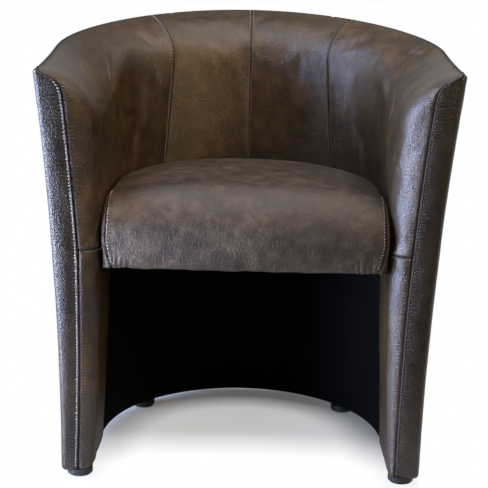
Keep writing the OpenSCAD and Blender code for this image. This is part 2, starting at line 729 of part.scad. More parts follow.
inner_cover(steps(1.5, 2, 5));  // inner_cover_back_left
inner_cover(steps(2, 2.5, 5));  // inner_cover_back_right
inner_cover(flip(arm_cols));  // inner_cover_right
leg_cover(leg_cols);  // leg_cover_left
leg_cover(flip(leg_cols));  // leg_cover_right
leg_lining();
underside_cloth();
seat_front_rail();
seat_rail(-1);  // seat_rail_left
seat_rail(1);  // seat_rail_right
seat_rear_rail();
seat_corner_blocks();
seat_springs();
spring_clips();
spring_felt();
seat_foam();
seat_cover();
seat_boxing();
seat_dust_cloth();
batten(steps(1, 1.4, 4));  // batten_left
batten(steps(2.6, 3, 4));  // batten_right
batten(steps(1.7, 2.3, 6));  // batten_rear
seat_bolts();
bolt_washers();
glide(0);  // glide_front_left
glide(1);  // glide_front_right
glide(2);  // glide_rear_left
glide(3);  // glide_rear_right
glide_nails();
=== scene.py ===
import math

import bpy
import numpy as np
from mathutils import Matrix, Vector


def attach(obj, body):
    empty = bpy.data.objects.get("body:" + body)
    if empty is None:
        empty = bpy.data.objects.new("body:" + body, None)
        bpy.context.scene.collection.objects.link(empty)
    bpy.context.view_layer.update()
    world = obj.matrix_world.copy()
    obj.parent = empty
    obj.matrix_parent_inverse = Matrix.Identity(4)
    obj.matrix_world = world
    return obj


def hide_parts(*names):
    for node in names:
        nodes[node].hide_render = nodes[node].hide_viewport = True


# Tub chair: leather-look covers sewn over padding, on the CAD frame. Metres, front is -Y, up is +Z.
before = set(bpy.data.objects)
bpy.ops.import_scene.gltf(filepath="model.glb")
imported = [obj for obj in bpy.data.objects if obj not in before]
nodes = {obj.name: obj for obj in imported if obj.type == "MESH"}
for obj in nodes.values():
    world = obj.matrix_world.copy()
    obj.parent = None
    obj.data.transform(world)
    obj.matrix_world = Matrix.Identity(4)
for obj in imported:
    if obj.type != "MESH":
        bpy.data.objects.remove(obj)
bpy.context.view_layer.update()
scene = bpy.context.scene
scene.view_settings.view_transform = "Standard"
print("frame loaded,", len(nodes), "nodes")

# Sizes of the form, as in the CAD
chair = {
    "armWidth": 0.664, "floorWidth": 0.590, "depth": 0.566, "backHeight": 0.758, "armHeight": 0.670,
    "frontLean": 0.026, "backLean": 0.043, "wallFloor": 0.049, "wallTop": 0.093,
    "bendLow": -0.16, "bendHigh": -0.055, "shoulder": 0.03, "shoulderRise": 0.09,
    "rimStraight": 0.44, "rimCurved": 0.56, "rimRound": 0.045, "rimSlope": 0.026,
    "roundInside": 2.3, "squareAtBand": 3.6, "edgeRound": 0.006, "cornerRound": 0.008,
    "bandTop": 0.043, "bandLowLeft": 0.028, "bandLowRight": 0.040, "bandIn": 0.0009, "beltHeight": 0.386,
    "coverThick": 0.0015, "hemHeight": 0.0138, "seatEdge": 0.466, "foamDepth": 0.04635, "gap": 0.0003,
    "rightFuller": 0.0064, "fullerReach": 0.26,
}


# The shell's form, from the same curves as in the CAD
def mix(a, b, t):
    return a + (b - a) * t


def halfWidth(z):
    return mix(chair["floorWidth"], chair["armWidth"], (z / chair["armHeight"]) ** 2) / 2


def frontY(z):
    return chair["frontLean"] * (1 - (z / chair["armHeight"]) ** 2) - chair["depth"] / 2


def backY(z):
    return chair["depth"] / 2 - chair["backLean"] * (1 - (z / chair["backHeight"]) ** 2)


def bendY(z):
    return chair["depth"] * mix(chair["bendLow"], chair["bendHigh"], z / chair["backHeight"])


def wall(z):
    return mix(chair["wallFloor"], chair["wallTop"], z / chair["armHeight"])


def band(z, side):
    low = np.where(side < 0, chair["bandLowLeft"], chair["bandLowRight"])
    return mix(low, chair["bandTop"], np.minimum(1, z / chair["beltHeight"]))


def corner(x, r):
    x, r = np.maximum(x, 0), np.maximum(r, 1e-6)
    return np.where(x >= r, 0, r - np.sqrt(np.maximum(0, r * r - (r - x) ** 2)))


def fold(u):
    return np.where(u > 2, 4 - u, u)


def sideOf(u):  # -1 on the left of the chair, 1 on the right
    return np.where(u > 2, 1.0, -1.0)


def bell(x, middle, width):  # 1 at the middle, fading over the width
    return np.exp(-((x - middle) / width) ** 2)


def together(*values):
    return np.broadcast_arrays(*[np.asarray(v, float) for v in values])


def shellPoint(u, z, d, r):
    u, z, d, r = together(u, z, d, r)
    side = sideOf(u)
    f = np.maximum(0, fold(u))
    rise = np.maximum(0, (z - chair["seatEdge"]) / (chair["backHeight"] - chair["seatEdge"]))
    f = np.where(f <= 1, f, f + (1 - np.abs(2 * f - 3)) * (chair["shoulder"] + chair["shoulderRise"] * rise))
    bend = bendY(z)
    turn = np.radians(90 * np.maximum(0, f - 1))
    x = np.where(f <= 1, halfWidth(z) - d, (halfWidth(z) - d) * np.cos(turn))
    straight = mix(frontY(z) + r, bend, np.minimum(f, 1))
    y = np.where(f <= 1, straight, bend + (backY(z) - d - bend) * np.sin(turn))
    return np.stack([side * x, y, z], axis=-1)


def rimHeight(y):
    t = np.maximum(0, y / chair["depth"] + 0.5)
    return mix(chair["armHeight"], chair["backHeight"], chair["rimStraight"] * t + chair["rimCurved"] * t * t)


def rim(u, r):
    y = shellPoint(u, chair["backHeight"], 0, r)[..., 1]
    return rimHeight(y) + fuller(u, y)


fullDrop = chair["rimRound"] + chair["rimSlope"]
edgeAngle = math.asin((chair["edgeRound"] + chair["gap"]) / chair["wallTop"])
lowTop = chair["armHeight"] - fullDrop
topSize = float(wall(lowTop)) - chair["bandTop"]


def rimAngle(w):
    return mix(math.pi / 2, edgeAngle, w)


def rimDrop(w, k):
    a = rimAngle(w)
    slope = chair["rimSlope"] * (np.sin(a) - math.sin(edgeAngle))
    return k + (chair["rimRound"] - k) * (1 - np.cos(a)) + slope


def armAngle(u):
    return np.where(fold(u) < 0, math.pi / 2 * (fold(u) + 1), math.pi / 2)


def fuller(u, y):  # the right arm stands a little higher at its front
    return np.where(u > 2, chair["rightFuller"], 0) * bell(y, -chair["depth"] / 2, chair["fullerReach"])


def insideRim(u):
    frontEnd = topSize * (1 - np.cos(armAngle(u))) - chair["depth"] / 2
    y = np.where(fold(u) < 0, frontEnd, shellPoint(u, chair["backHeight"], 0, topSize)[..., 1])
    return rimHeight(y) + fuller(u, y)


def wallAt(u, z):
    return wall(np.minimum(z, insideRim(u) - fullDrop))


def innerDepth(side, t, z, w, k, share):
    reach = (t - k) * np.sin(rimAngle(w))
    away = np.maximum(0, (t - k - band(z, side)) * share)
    least = mix(chair["edgeRound"] + chair["gap"], chair["cornerRound"] + chair["edgeRound"] / 4, share)
    power = mix(chair["roundInside"], chair["squareAtBand"], np.clip(share, 0, 1) ** 6)
    return np.maximum(least, t - k - (np.maximum(0, t - k - reach) ** power + away ** power) ** (1 / power))


def innerPoint(u, z, w, k):  # k is the depth under the inside face
    u, z, w = together(u, z, w)
    side = sideOf(u)
    low = np.minimum(z, lowTop)
    size = wall(low) - band(low, side)
    angle = armAngle(u)
    d = innerDepth(side, wallAt(u, z), low, w, k, 1 - np.sin(angle))
    p = shellPoint(u, z, d, size)
    y = frontY(z) + k + corner(insideRim(u) - z, chair["edgeRound"]) + (size - k) * (1 - np.cos(angle))
    p[..., 1] = np.where(fold(u) < 0, y, p[..., 1])
    return p


def insideHeight(u, v, w, z0, k):
    return np.where(w > 0, insideRim(u) - rimDrop(w, k), mix(z0, insideRim(u) - fullDrop, v))


def outerPoint(u, z, w, e):  # e is the depth under the outside face
    u, z, w, e = together(u, z, w, e)
    f = fold(u)
    side = sideOf(u)
    r = chair["cornerRound"]
    low = np.minimum(z, lowTop)
    edge = innerDepth(side, wallAt(u, z), low, w, 0, 1) - chair["bandIn"]
    p = shellPoint(u, z, e, r)
    angle = math.pi * (f + 0.5)
    flatX = side * (halfWidth(z) - mix(r, edge, -1 - 2 * f))
    roundX = side * (halfWidth(z) - r + (r - e) * np.sin(angle))
    roundY = frontY(z) + r - (r - e) * np.cos(angle)
    p[..., 0] = np.where(f >= 0, p[..., 0], np.where(f < -0.5, flatX, roundX))
    p[..., 1] = np.where(f >= 0, p[..., 1], np.where(f < -0.5, frontY(z) + e, roundY))
    return p


# Tools for surfaces made of rows and columns of points
def spaced(a, b, count, fine=True):  # even steps, closer together beside both ends
    s = np.linspace(a, b, count + 1)
    if not fine:
        return s
    step = (b - a) / count
    near = np.array([0.15, 0.32, 0.55])
    return np.sort(np.concatenate([s, a + near * step, b - near * step, [a + 1.45 * step, b - 1.45 * step]]))


def normalsOf(grid, outward):  # outward(points) gives a rough direction that the face looks in
    n = np.cross(np.gradient(grid, axis=1), np.gradient(grid, axis=0))
    n /= np.maximum(np.linalg.norm(n, axis=-1, keepdims=True), 1e-12)
    return n * np.sign(np.mean(np.sum(n * outward(grid), axis=-1)))


def lengths(grid, axis):  # distance travelled along rows (axis 1) or columns (axis 0)
    step = np.linalg.norm(np.diff(grid, axis=axis), axis=-1)
    run = np.cumsum(step, axis=axis)
    return np.concatenate([np.zeros_like(np.take(run, [0], axis=axis)), run], axis=axis)


def edgeRuns(grid):
    across, along = lengths(grid, 1), lengths(grid, 0)
    return across, along, across[:, -1:] - across, along[-1:, :] - along


def smoothNoise(x, y, seed):  # gentle noise between -1 and 1, one lump per unit
    table = np.random.RandomState(seed).uniform(-1, 1, (64, 64))
    xi, yi = np.floor(x).astype(int), np.floor(y).astype(int)
    fx, fy = x - xi, y - yi
    fx, fy = fx * fx * (3 - 2 * fx), fy * fy * (3 - 2 * fy)
    a, b = table[yi % 64, xi % 64], table[yi % 64, (xi + 1) % 64]
    c, d = table[(yi + 1) % 64, xi % 64], table[(yi + 1) % 64, (xi + 1) % 64]
    return (a * (1 - fx) + b * fx) * (1 - fy) + (c * (1 - fx) + d * fx) * fy


def clothPlace(base, cloth, point):  # where a point of the form lies on the cloth
    near = np.argmin(np.linalg.norm(base - np.asarray(point), axis=-1))
    return cloth.reshape(-1, 2)[near]


def segmentDistance(grid, a, b):  # distance to the line between two points, and the share along it
    a, b = np.asarray(a, float), np.asarray(b, float)
    t = np.clip(np.sum((grid - a) * (b - a), axis=-1) / np.sum((b - a) ** 2), 0, 1)
    return np.linalg.norm(grid - (a + t[..., None] * (b - a)), axis=-1), t


def lumps(x, y, settings):  # settings: height, steps in x and y, seed
    size, stepX, stepY, seed = settings
    return size * smoothNoise(x / stepX, y / stepY, seed)


def creases(grid, lines):  # each line is its points, half width and height, as on the cover
    h = np.zeros(grid.shape[:2])
    for points, width, height in lines:
        nearest, share = np.full(h.shape, 9.0), np.zeros(h.shape)
        for i, (a, b) in enumerate(zip(points, points[1:])):
            d, t = segmentDistance(grid, a, b)
            share = np.where(d < nearest, (i + t) / (len(points) - 1), share)
            nearest = np.minimum(nearest, d)
        h += height * bell(nearest, 0, width) * np.sin(math.pi * (0.04 + 0.92 * share)) ** 0.6
    return h


def tuck(d, width=0.0045, depth=0.0022):  # the cover turns down into the seam
    return -depth * np.clip(1 - d / width, 0, 1) ** 2


def deselect():
    if bpy.context.object and bpy.context.object.mode != "OBJECT":
        bpy.ops.object.mode_set(mode="OBJECT")
    bpy.ops.object.select_all(action="DESELECT")


def choose(piece):
    deselect()
    piece.select_set(True)
    bpy.context.view_layer.objects.active = piece


def newPiece(name, points, faces):
    mesh = bpy.data.meshes.new(name)
    mesh.from_pydata([tuple(p) for p in np.asarray(points).reshape(-1, 3)], [], faces)
    mesh.update()
    piece = bpy.data.objects.new(name, mesh)
    scene.collection.objects.link(piece)
    return piece


def gridFaces(rows, cols, flipped):
    r, c = np.meshgrid(np.arange(rows - 1), np.arange(cols - 1), indexing="ij")
    a = (r * cols + c).ravel()
    quads = np.stack([a, a + 1, a + cols + 1, a + cols], axis=1)
    return (quads[:, ::-1] if flipped else quads).tolist()


def surfacePiece(name, grid, outward):
    rows, cols = grid.shape[:2]
    r, c = rows // 2, cols // 2
    n = np.cross(grid[r, c + 1] - grid[r, c], grid[r + 1, c] - grid[r, c])
    flipped = np.dot(n, outward(grid)[r, c]) < 0
    return newPiece(name, grid, gridFaces(rows, cols, flipped))


def clothMap(piece, across, along):  # UV in metres on the cloth
    layer = piece.data.uv_layers.new(name="cloth")
    index = np.empty(len(piece.data.loops), dtype=np.int32)
    piece.data.loops.foreach_get("vertex_index", index)
    uv = np.stack([across.ravel()[index], along.ravel()[index]], axis=1)
    layer.data.foreach_set("uv", uv.ravel().astype(np.float32))


def paint(piece, name, values):  # a number at each point that the material reads
    layer = piece.data.attributes.new(name, "FLOAT", "POINT")
    layer.data.foreach_set("value", np.asarray(values, np.float32).ravel())


def places(piece):
    co = np.empty(len(piece.data.vertices) * 3)
    piece.data.vertices.foreach_get("co", co)
    return co.reshape(-1, 3)


def setPlaces(piece, co):
    piece.data.vertices.foreach_set("co", np.asarray(co, float).ravel())
    piece.data.update()


clothBasics = {"quality": 5, "mass": 0.35, "shearShare": 0.4}


def puff(piece, held, settings):  # cloth simulation: the padding pushes the cover out between its seams
    rest = places(piece)
    group = piece.vertex_groups.new(name="held")
    held = np.asarray(held, float).ravel()
    for level in (1.0, 0.5):
        group.add([int(i) for i in np.where(np.abs(held - level) < 0.01)[0]], level, "REPLACE")
    choose(piece)
    cloth = piece.modifiers.new("cloth", "CLOTH")
    cloth.settings.quality = clothBasics["quality"]
    cloth.settings.mass = clothBasics["mass"]
    cloth.settings.tension_stiffness = cloth.settings.compression_stiffness = settings["stiffness"]
    cloth.settings.shear_stiffness = settings["stiffness"] * clothBasics["shearShare"]
    cloth.settings.bending_stiffness = settings["bending"]
    cloth.settings.vertex_group_mass = "held"
    cloth.settings.use_pressure = True
    cloth.settings.uniform_pressure_force = settings["pressure"]
    cloth.settings.shrink_min = -settings["slack"]
    cloth.settings.effector_weights.gravity = 0
    cloth.collision_settings.use_collision = False
    for step in range(1, settings["frames"] + 1):
        scene.frame_set(step)
    bpy.ops.object.modifier_apply(modifier="cloth")
    scene.frame_set(1)
    moved = places(piece) - rest
    far = np.linalg.norm(moved, axis=1, keepdims=True)
    print("  ", piece.name, "puffed out, furthest", round(float(far.max()) * 1000, 1), "mm")
    setPlaces(piece, rest + moved * np.minimum(1, settings["cap"] / np.maximum(far, 1e-9)))
    piece.vertex_groups.clear()


def everyStep(run, step):  # indices of points at least a step apart, ends included
    chosen = [0]
    for i in range(1, len(run)):
        if run[i] - run[chosen[-1]] >= step:
            chosen.append(i)
    chosen[-1] = len(run) - 1
    return np.array(chosen)


def spread(field, rowsFrom, colsFrom, rowsTo, colsTo, times=4):  # a coarse field of movements on a finer grid
    across = np.stack([
        np.stack([np.interp(colsTo, colsFrom, row[:, k]) for k in range(3)], axis=-1) for row in field])
    full = np.stack([
        np.stack([np.interp(rowsTo, rowsFrom, across[:, c, k]) for k in range(3)], axis=-1)
        for c in range(len(colsTo))], axis=1)
    for _ in range(times):
        soft = full.copy()
        soft[1:-1] = (full[:-2] + 2 * full[1:-1] + full[2:]) / 4
        full = soft.copy()
        full[:, 1:-1] = (soft[:, :-2] + 2 * soft[:, 1:-1] + soft[:, 2:]) / 4
    return full


def calm(field, times):  # smooths a field of movements, its border stays
    for _ in range(times):
        field = field.copy()
        field[1:-1, 1:-1] = (field[:-2, 1:-1] + field[2:, 1:-1] + field[1:-1, :-2] + field[1:-1, 2:]) / 4
    return field


def relax(grid, times, keep=5):  # rounds off hard bends, the outermost rows and columns stay
    soft = grid.copy()
    rows, cols = grid.shape[:2]
    r = np.minimum(np.arange(rows), np.arange(rows)[::-1])[:, None]
    c = np.minimum(np.arange(cols), np.arange(cols)[::-1])[None, :]
    amount = np.clip(np.minimum(r - keep, c - 1) / 4, 0, 1)[..., None]
    for _ in range(times):
        mean = soft.copy()
        mean[1:-1, 1:-1] = (soft[:-2, 1:-1] + soft[2:, 1:-1] + soft[1:-1, :-2] + soft[1:-1, 2:]) / 4
        soft = soft + (mean - soft) * amount * 0.7
    return soft


def puffGrid(name, grid, outward, heldWidth, settings):  # held widths: left, right, bottom, top
    across, along, toRight, toTop = edgeRuns(grid)
    rows = everyStep(along[:, along.shape[1] // 2], settings["step"])
    cols = everyStep(across[across.shape[0] // 2], settings["step"])
    rough = grid[np.ix_(rows, cols)]
    left, right, bottom, top = heldWidth
    held = (across < left) | (toRight < right) | (along < bottom) | (toTop < top)
    held = held[np.ix_(rows, cols)]
    skin = surfacePiece(name + "_skin", rough, outward)
    puff(skin, held, settings)
    moved = places(skin).reshape(rough.shape) - rough
    bpy.data.objects.remove(skin, do_unlink=True)
    return grid + spread(moved, rows, cols, np.arange(len(grid)), np.arange(grid.shape[1]))


def thicken(piece, thickness):
    choose(piece)
    wallOf = piece.modifiers.new("thickness", "SOLIDIFY")
    wallOf.thickness = thickness
    wallOf.offset = -1
    wallOf.use_even_offset = False
    bpy.ops.object.modifier_apply(modifier=wallOf.name)


def smooth(piece, angle=50):
    choose(piece)
    bpy.ops.object.shade_smooth_by_angle(angle=math.radians(angle))
    deselect()


def turnOutwards(piece, merge=0):
    choose(piece)
    bpy.ops.object.mode_set(mode="EDIT")
    bpy.ops.mesh.select_all(action="SELECT")
    if merge:
        bpy.ops.mesh.remove_doubles(threshold=merge)
        bpy.ops.mesh.select_all(action="SELECT")
    bpy.ops.mesh.normals_make_consistent(inside=False)
    bpy.ops.object.mode_set(mode="OBJECT")


def dress(piece, material, slot, replaced=()):
    piece.data.materials.clear()
    piece.data.materials.append(material)
    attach(piece, "root")
    if replaced:
        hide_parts(*replaced)
    return piece


def finishCover(piece, across, along, look, node, marks=None, thick=chair["coverThick"], uv=None):
    clothMap(piece, *(uv or (across, along)))
    for key, values in (marks or {}).items():
        paint(piece, key, values)
    thicken(piece, thick)
    smooth(piece)
    dress(piece, *look, [node])


# Materials
def newMaterial(name, base, roughness, **sockets):
    material = bpy.data.materials.new(name)
    material.use_nodes = True
    shader = material.node_tree.nodes["Principled BSDF"]
    shader.inputs["Base Color"].default_value = (*base, 1)
    shader.inputs["Roughness"].default_value = roughness
    for key, value in sockets.items():
        shader.inputs[key.replace("_", " ")].default_value = value
    return material, material.node_tree, shader


def addNode(tree, kind, inputs=None, **options):
    node = tree.nodes.new(kind)
    for key, value in options.items():
        setattr(node, key, value)
    for key, value in (inputs or {}).items():
        if isinstance(value, bpy.types.NodeSocket):
            tree.links.new(value, node.inputs[key])
        else:
            node.inputs[key].default_value = value
    return node


def plug(tree, shader, key, value):
    tree.links.new(value, shader.inputs[key])


def objectPlace(tree):
    return addNode(tree, "ShaderNodeTexCoord").outputs["Object"]


def noiseAt(tree, vector, scale, detail=4, rough=0.55, bend=0.0):
    inputs = {"Vector": vector, "Scale": scale, "Detail": detail, "Roughness": rough, "Distortion": bend}
    return addNode(tree, "ShaderNodeTexNoise", inputs).outputs["Fac"]


def cellsAt(tree, vector, scale, **options):
    inputs = {"Vector": vector, "Scale": scale, "Randomness": 1.0}
    return addNode(tree, "ShaderNodeTexVoronoi", inputs, **options).outputs["Distance"]


def ramp(tree, value, stops):
    node = addNode(tree, "ShaderNodeValToRGB", {"Fac": value})
    parts = node.color_ramp.elements
    while len(parts) < len(stops):
        parts.new(0.5)
    for part, (at, color) in zip(parts, stops):
        part.position = at
        part.color = (*color, 1)
    return node.outputs["Color"]


def mapRange(tree, value, low, high, toLow, toHigh):
    inputs = {"Value": value, "From Min": low, "From Max": high, "To Min": toLow, "To Max": toHigh}
    return addNode(tree, "ShaderNodeMapRange", inputs).outputs["Result"]


def blendColors(tree, fac, a, b):
    node = addNode(tree, "ShaderNodeMix", {"Factor": fac}, data_type="RGBA", blend_type="MIX")
    for key, value in (("A", a), ("B", b)):
        socket = [s for s in node.inputs if s.name == key and s.type == "RGBA"][0]
        if isinstance(value, bpy.types.NodeSocket):
            tree.links.new(value, socket)
        else:
            socket.default_value = (*value, 1)
    return [s for s in node.outputs if s.type == "RGBA"][0]


def sums(tree, operation, a, b=0.0, clamp=False):
    return addNode(tree, "ShaderNodeMath", {0: a, 1: b}, operation=operation, use_clamp=clamp).outputs[0]


def add(tree, a, b, clamp=False):
    return sums(tree, "ADD", a, b, clamp)


def multiply(tree, a, b):
    return sums(tree, "MULTIPLY", a, b)


def greatest(tree, a, b):
    return sums(tree, "MAXIMUM", a, b)


def relief(tree, shader, height, strength, depth):
    bump = addNode(tree, "ShaderNodeBump", {"Height": height, "Strength": strength, "Distance": depth})
    plug(tree, shader, "Normal", bump.outputs["Normal"])


def shade(color, amount):
    return tuple(c * amount for c in color)


def srgb(*levels):  # a screen colour, 0 to 255, made linear
    shares = [level / 255 for level in levels]
    return tuple(c / 12.92 if c <= 0.04045 else ((c + 0.055) / 1.055) ** 2.4 for c in shares)


leatherMarks = {  # noises: lumps per metre, detail, roughness, bend
    "clouds": (8, 4, 0.55, 0.3), "mottle": (42, 7, 0.7, 0.2), "specks": (300, 3, 0.65),
    "grain": (700, 2, 0.6), "scuffs": (110, 6, 0.75, 0.6), "dents": (55, 3, 0.5), "wobble": (40, 2, 0.5),
    "patches": (28, 2, 0.5), "tint": (1.0, 0.94, 0.88, 1), "coatRoughness": 0.68,
    "pebbles": 480.0, "gathers": 1150.0, "gatherWobble": 9.0, "glossVaries": 0.06,
    "reliefStrength": 0.7, "reliefDepth": 0.0011,
}


def leather(name, dark, mid, light, roughness, coat):
    marks = leatherMarks
    material, tree, shader = newMaterial(
        name, mid, roughness, IOR=1.6, Specular_Tint=marks["tint"], Coat_Weight=coat,
        Coat_Roughness=marks["coatRoughness"])
    place = objectPlace(tree)
    clothUv = addNode(tree, "ShaderNodeUVMap", uv_map="cloth").outputs["UV"]
    seam, pucker = [
        addNode(tree, "ShaderNodeAttribute", attribute_name=key).outputs["Fac"] for key in ("seam", "pucker")]
    # colour: broad clouds, smaller mottling, scuffs, and painted shade: a darker line in the seams
    clouds, mottle, specks, grain = [
        noiseAt(tree, place, *marks[key]) for key in ("clouds", "mottle", "specks", "grain")]
    amount = add(tree, multiply(tree, clouds, 0.4), multiply(tree, mottle, 0.6))
    base = ramp(tree, amount, [(0.39, dark), (0.5, mid), (0.63, light)])
    scuff = mapRange(tree, noiseAt(tree, place, *marks["scuffs"]), 0.6, 0.76, 0, 0.4)
    base = blendColors(tree, scuff, base, light)
    base = blendColors(tree, mapRange(tree, specks, 0.4, 0.7, 0.0, 0.45), base, dark)
    # painted shade: the seam mark darkens the colour where the cover turns down into a seam
    base = blendColors(tree, multiply(tree, seam, 0.8), base, shade(dark, 0.25))
    plug(tree, shader, "Base Color", base)
    # gloss varies with the specks and the mottling
    uneven = add(tree, multiply(tree, mottle, 0.5), multiply(tree, specks, 0.5))
    varies = marks["glossVaries"]
    gloss = mapRange(tree, uneven, 0.38, 0.62, roughness - varies, roughness + varies)
    plug(tree, shader, "Roughness", add(tree, gloss, multiply(tree, seam, 0.45), True))
    # relief: pebbled grain, soft dents and the small gathers along the seams
    pebbles = cellsAt(tree, place, marks["pebbles"], feature="SMOOTH_F1")
    dents = noiseAt(tree, place, *marks["dents"])
    run = addNode(tree, "ShaderNodeSeparateXYZ", {"Vector": clothUv}).outputs["Y"]
    wobble = multiply(tree, noiseAt(tree, place, *marks["wobble"]), marks["gatherWobble"])
    wave = sums(tree, "SINE", add(tree, multiply(tree, run, marks["gathers"]), wobble))
    here = mapRange(tree, noiseAt(tree, place, *marks["patches"]), 0.42, 0.58, 0.15, 1.0)
    gathers = multiply(tree, multiply(tree, wave, pucker), here)
    height = multiply(tree, pebbles, 0.6)
    for part, share in ((specks, 1.3), (grain, 0.25), (dents, 0.4), (gathers, 0.7)):
        height = add(tree, height, multiply(tree, part, share))
    relief(tree, shader, height, marks["reliefStrength"], marks["reliefDepth"])
    return material


def wovenCloth(name, base, thread):  # thin black lining, plain weave
    material, tree, shader = newMaterial(name, base, 1.0, IOR=1.2)
    place = objectPlace(tree)
    at = addNode(tree, "ShaderNodeSeparateXYZ", {"Vector": place}).outputs
    across = sums(tree, "SINE", multiply(tree, add(tree, at["X"], at["Y"]), thread))
    up = sums(tree, "SINE", multiply(tree, sums(tree, "SUBTRACT", at["Z"], at["Y"]), thread))
    weave = multiply(tree, across, up)
    fuzz = noiseAt(tree, place, 60, 5, 0.6)
    tone = blendColors(tree, mapRange(tree, fuzz, 0.3, 0.7, 0, 1), shade(base, 0.7), shade(base, 1.5))
    tone = blendColors(tree, mapRange(tree, weave, -1, 1, 0, 0.5), tone, shade(base, 0.4))
    plug(tree, shader, "Base Color", tone)
    relief(tree, shader, weave, 0.3, 0.0003)
    return material


def foamLike(name, base, cell, depth):
    material, tree, shader = newMaterial(name, base, 0.92)
    place = objectPlace(tree)
    cells = cellsAt(tree, place, cell)
    patches = mapRange(tree, noiseAt(tree, place, 12, 4), 0.3, 0.7, 0, 1)
    tone = blendColors(tree, patches, shade(base, 0.82), base)
    tone = blendColors(tree, mapRange(tree, cells, 0, 0.5, 0.35, 0), tone, shade(base, 0.55))
    plug(tree, shader, "Base Color", tone)
    relief(tree, shader, cells, 0.6, depth)
    return material


def stretched(tree, place, along):
    return addNode(tree, "ShaderNodeMapping", {"Vector": place, "Scale": (1.0, 1.0, along)}).outputs["Vector"]


def timber(name, dark, light, ringScale):
    material, tree, shader = newMaterial(name, light, 0.62)
    place = objectPlace(tree)
    waves = {"Vector": stretched(tree, place, 0.12), "Scale": ringScale, "Distortion": 9.0}
    waves.update({"Detail": 3.0, "Detail Scale": 1.6})
    rings = addNode(tree, "ShaderNodeTexWave", waves).outputs["Fac"]
    pores = noiseAt(tree, stretched(tree, place, 0.05), 700, 3)
    late = tuple(mix(a, b, 0.4) for a, b in zip(light, dark))
    tone = ramp(tree, rings, [(0.1, dark), (0.55, light), (0.95, late)])
    tone = blendColors(tree, mapRange(tree, pores, 0.45, 0.7, 0, 0.35), tone, dark)
    plug(tree, shader, "Base Color", tone)
    relief(tree, shader, pores, 0.25, 0.0004)
    return material


def hardFinish(name, base, roughness, marksAt, rough, tonesAt, tones, bump=None, **sockets):
    material, tree, shader = newMaterial(name, base, roughness, **sockets)
    place = objectPlace(tree)
    marks = noiseAt(tree, place, *marksAt)
    plug(tree, shader, "Roughness", mapRange(tree, marks, 0.3, 0.7, *rough))
    plug(tree, shader, "Base Color", ramp(tree, noiseAt(tree, place, *tonesAt), tones))
    if bump:
        relief(tree, shader, marks, *bump)
    return material


def sewingThread(name, base):
    material, tree, shader = newMaterial(name, base, 0.6, Sheen_Weight=0.2)
    twist = noiseAt(tree, objectPlace(tree), 1400, 2)
    tone = blendColors(tree, mapRange(tree, twist, 0.35, 0.65, 0, 1), shade(base, 0.6), base)
    plug(tree, shader, "Base Color", tone)
    return material


# painted shade and light: one leather in three tones; the outer covers are darker, standing for the shade on
# the front bands, and the seat is lighter, standing for the light on its top
outerLeather = leather("outer_leather", srgb(23, 15, 7), srgb(36, 26, 14), srgb(54, 42, 27), 0.37, 0.0)
innerLeather = leather("inner_leather", srgb(36, 23, 8), srgb(55, 38, 16), srgb(80, 59, 29), 0.37, 0.15)
seatLeather = leather("seat_leather", srgb(38, 26, 16), srgb(60, 46, 33), srgb(92, 74, 55), 0.47, 0.0)
blackCloth = wovenCloth("black_cloth", srgb(7, 7, 8), 5200.0)
foam = foamLike("foam", srgb(226, 214, 168), 900, 0.0005)
wadding = foamLike("wadding", srgb(236, 235, 230), 260, 0.001)
felt = foamLike("felt", srgb(112, 114, 118), 700, 0.0006)
frameWood = timber("frame_wood", srgb(150, 108, 62), srgb(205, 170, 118), 26)
hardboard = timber("hardboard", srgb(96, 66, 40), srgb(128, 92, 58), 60)
steel = hardFinish(
    "steel", srgb(176, 178, 182), 0.34, (160, 6, 0.7), (0.22, 0.46), (40, 5),
    [(0.3, srgb(120, 118, 116)), (0.7, srgb(190, 192, 196))], Metallic=1.0)
plastic = hardFinish(
    "glide_plastic", srgb(16, 16, 17), 0.42, (240, 5, 0.6), (0.34, 0.6), (90, 5),
    [(0.35, srgb(11, 11, 12)), (0.7, srgb(30, 30, 31))], (0.2, 0.0003))
# painted light and shade: one thread in two tones, a pale copy for the lines that lie in light and a brown
# copy for the lines that lie in shade
litThread = sewingThread("lit_pale_thread", srgb(214, 194, 164))
shadedThread = sewingThread("shaded_brown_thread", srgb(142, 122, 98))
innerLook, outerLook = (innerLeather, "inner_leather"), (outerLeather, "outer_leather")
seatLook, blackLook = (seatLeather, "seat_leather"), (blackCloth, "black_cloth")
print("materials made")


# Where the pieces look
def intoTub(grid):
    return np.array([0.0, -0.12, 1.0]) - grid


def awayFromTub(grid):
    middle = grid.copy()
    middle[..., 0] = 0
    middle[..., 1] = np.clip(grid[..., 1], -0.03, 0.0)
    return grid - middle


# Inside panels: two arms and two halves of the back, each with its foam
panels = {
    "rows": 76, "rimRows": 38, "rounding": 90, "held": (0.004, 0.004, 0.004, 0.03),
    "sideTuck": 0.0036, "rimTuck": (0.003, 0.0012), "footTuck": (0.004, 0.0018),
    "fullLeft": 0.0042, "fullRight": 0.0012, "fullAt": (0.045, 0.064), "fullReach": (0.036, 0.042),
    "crumple": 0.0020, "crumpleAt": (0.300, 0.018, 0.700), "crumpleReach": 0.044,
    "wave": 0.0007, "gatherReach": 0.12, "sideGather": (0.00035, 0.004, 0.02, 31),
    "sideGatherAt": (0.006, 0.006), "puckerAt": (0.004, 0.005), "seamShadeWidth": 0.003,
    "foams": ["arm_foam_left", "back_foam", "arm_foam_right"],
    "puff": {
        "stiffness": 15, "bending": 0.8, "pressure": 1.2, "slack": 0.004, "frames": 14, "cap": 0.0028,
        "step": 0.007},
}


def insideRows(count, rimCount):
    v = spaced(0, 1, count)
    w = 1 - np.linspace(1, 0, rimCount + 1)[1:] ** 1.25
    w = np.sort(np.concatenate([w, 1 - np.array([0.0012, 0.003, 0.006])]))
    return np.concatenate([v, np.ones(len(w))])[:, None], np.concatenate([np.zeros(len(v)), w])[:, None]


def insideGrid(us, v, w, z0):
    us = np.asarray(us)[None, :]
    return innerPoint(us, insideHeight(us, v, w, z0, 0), w, 0)


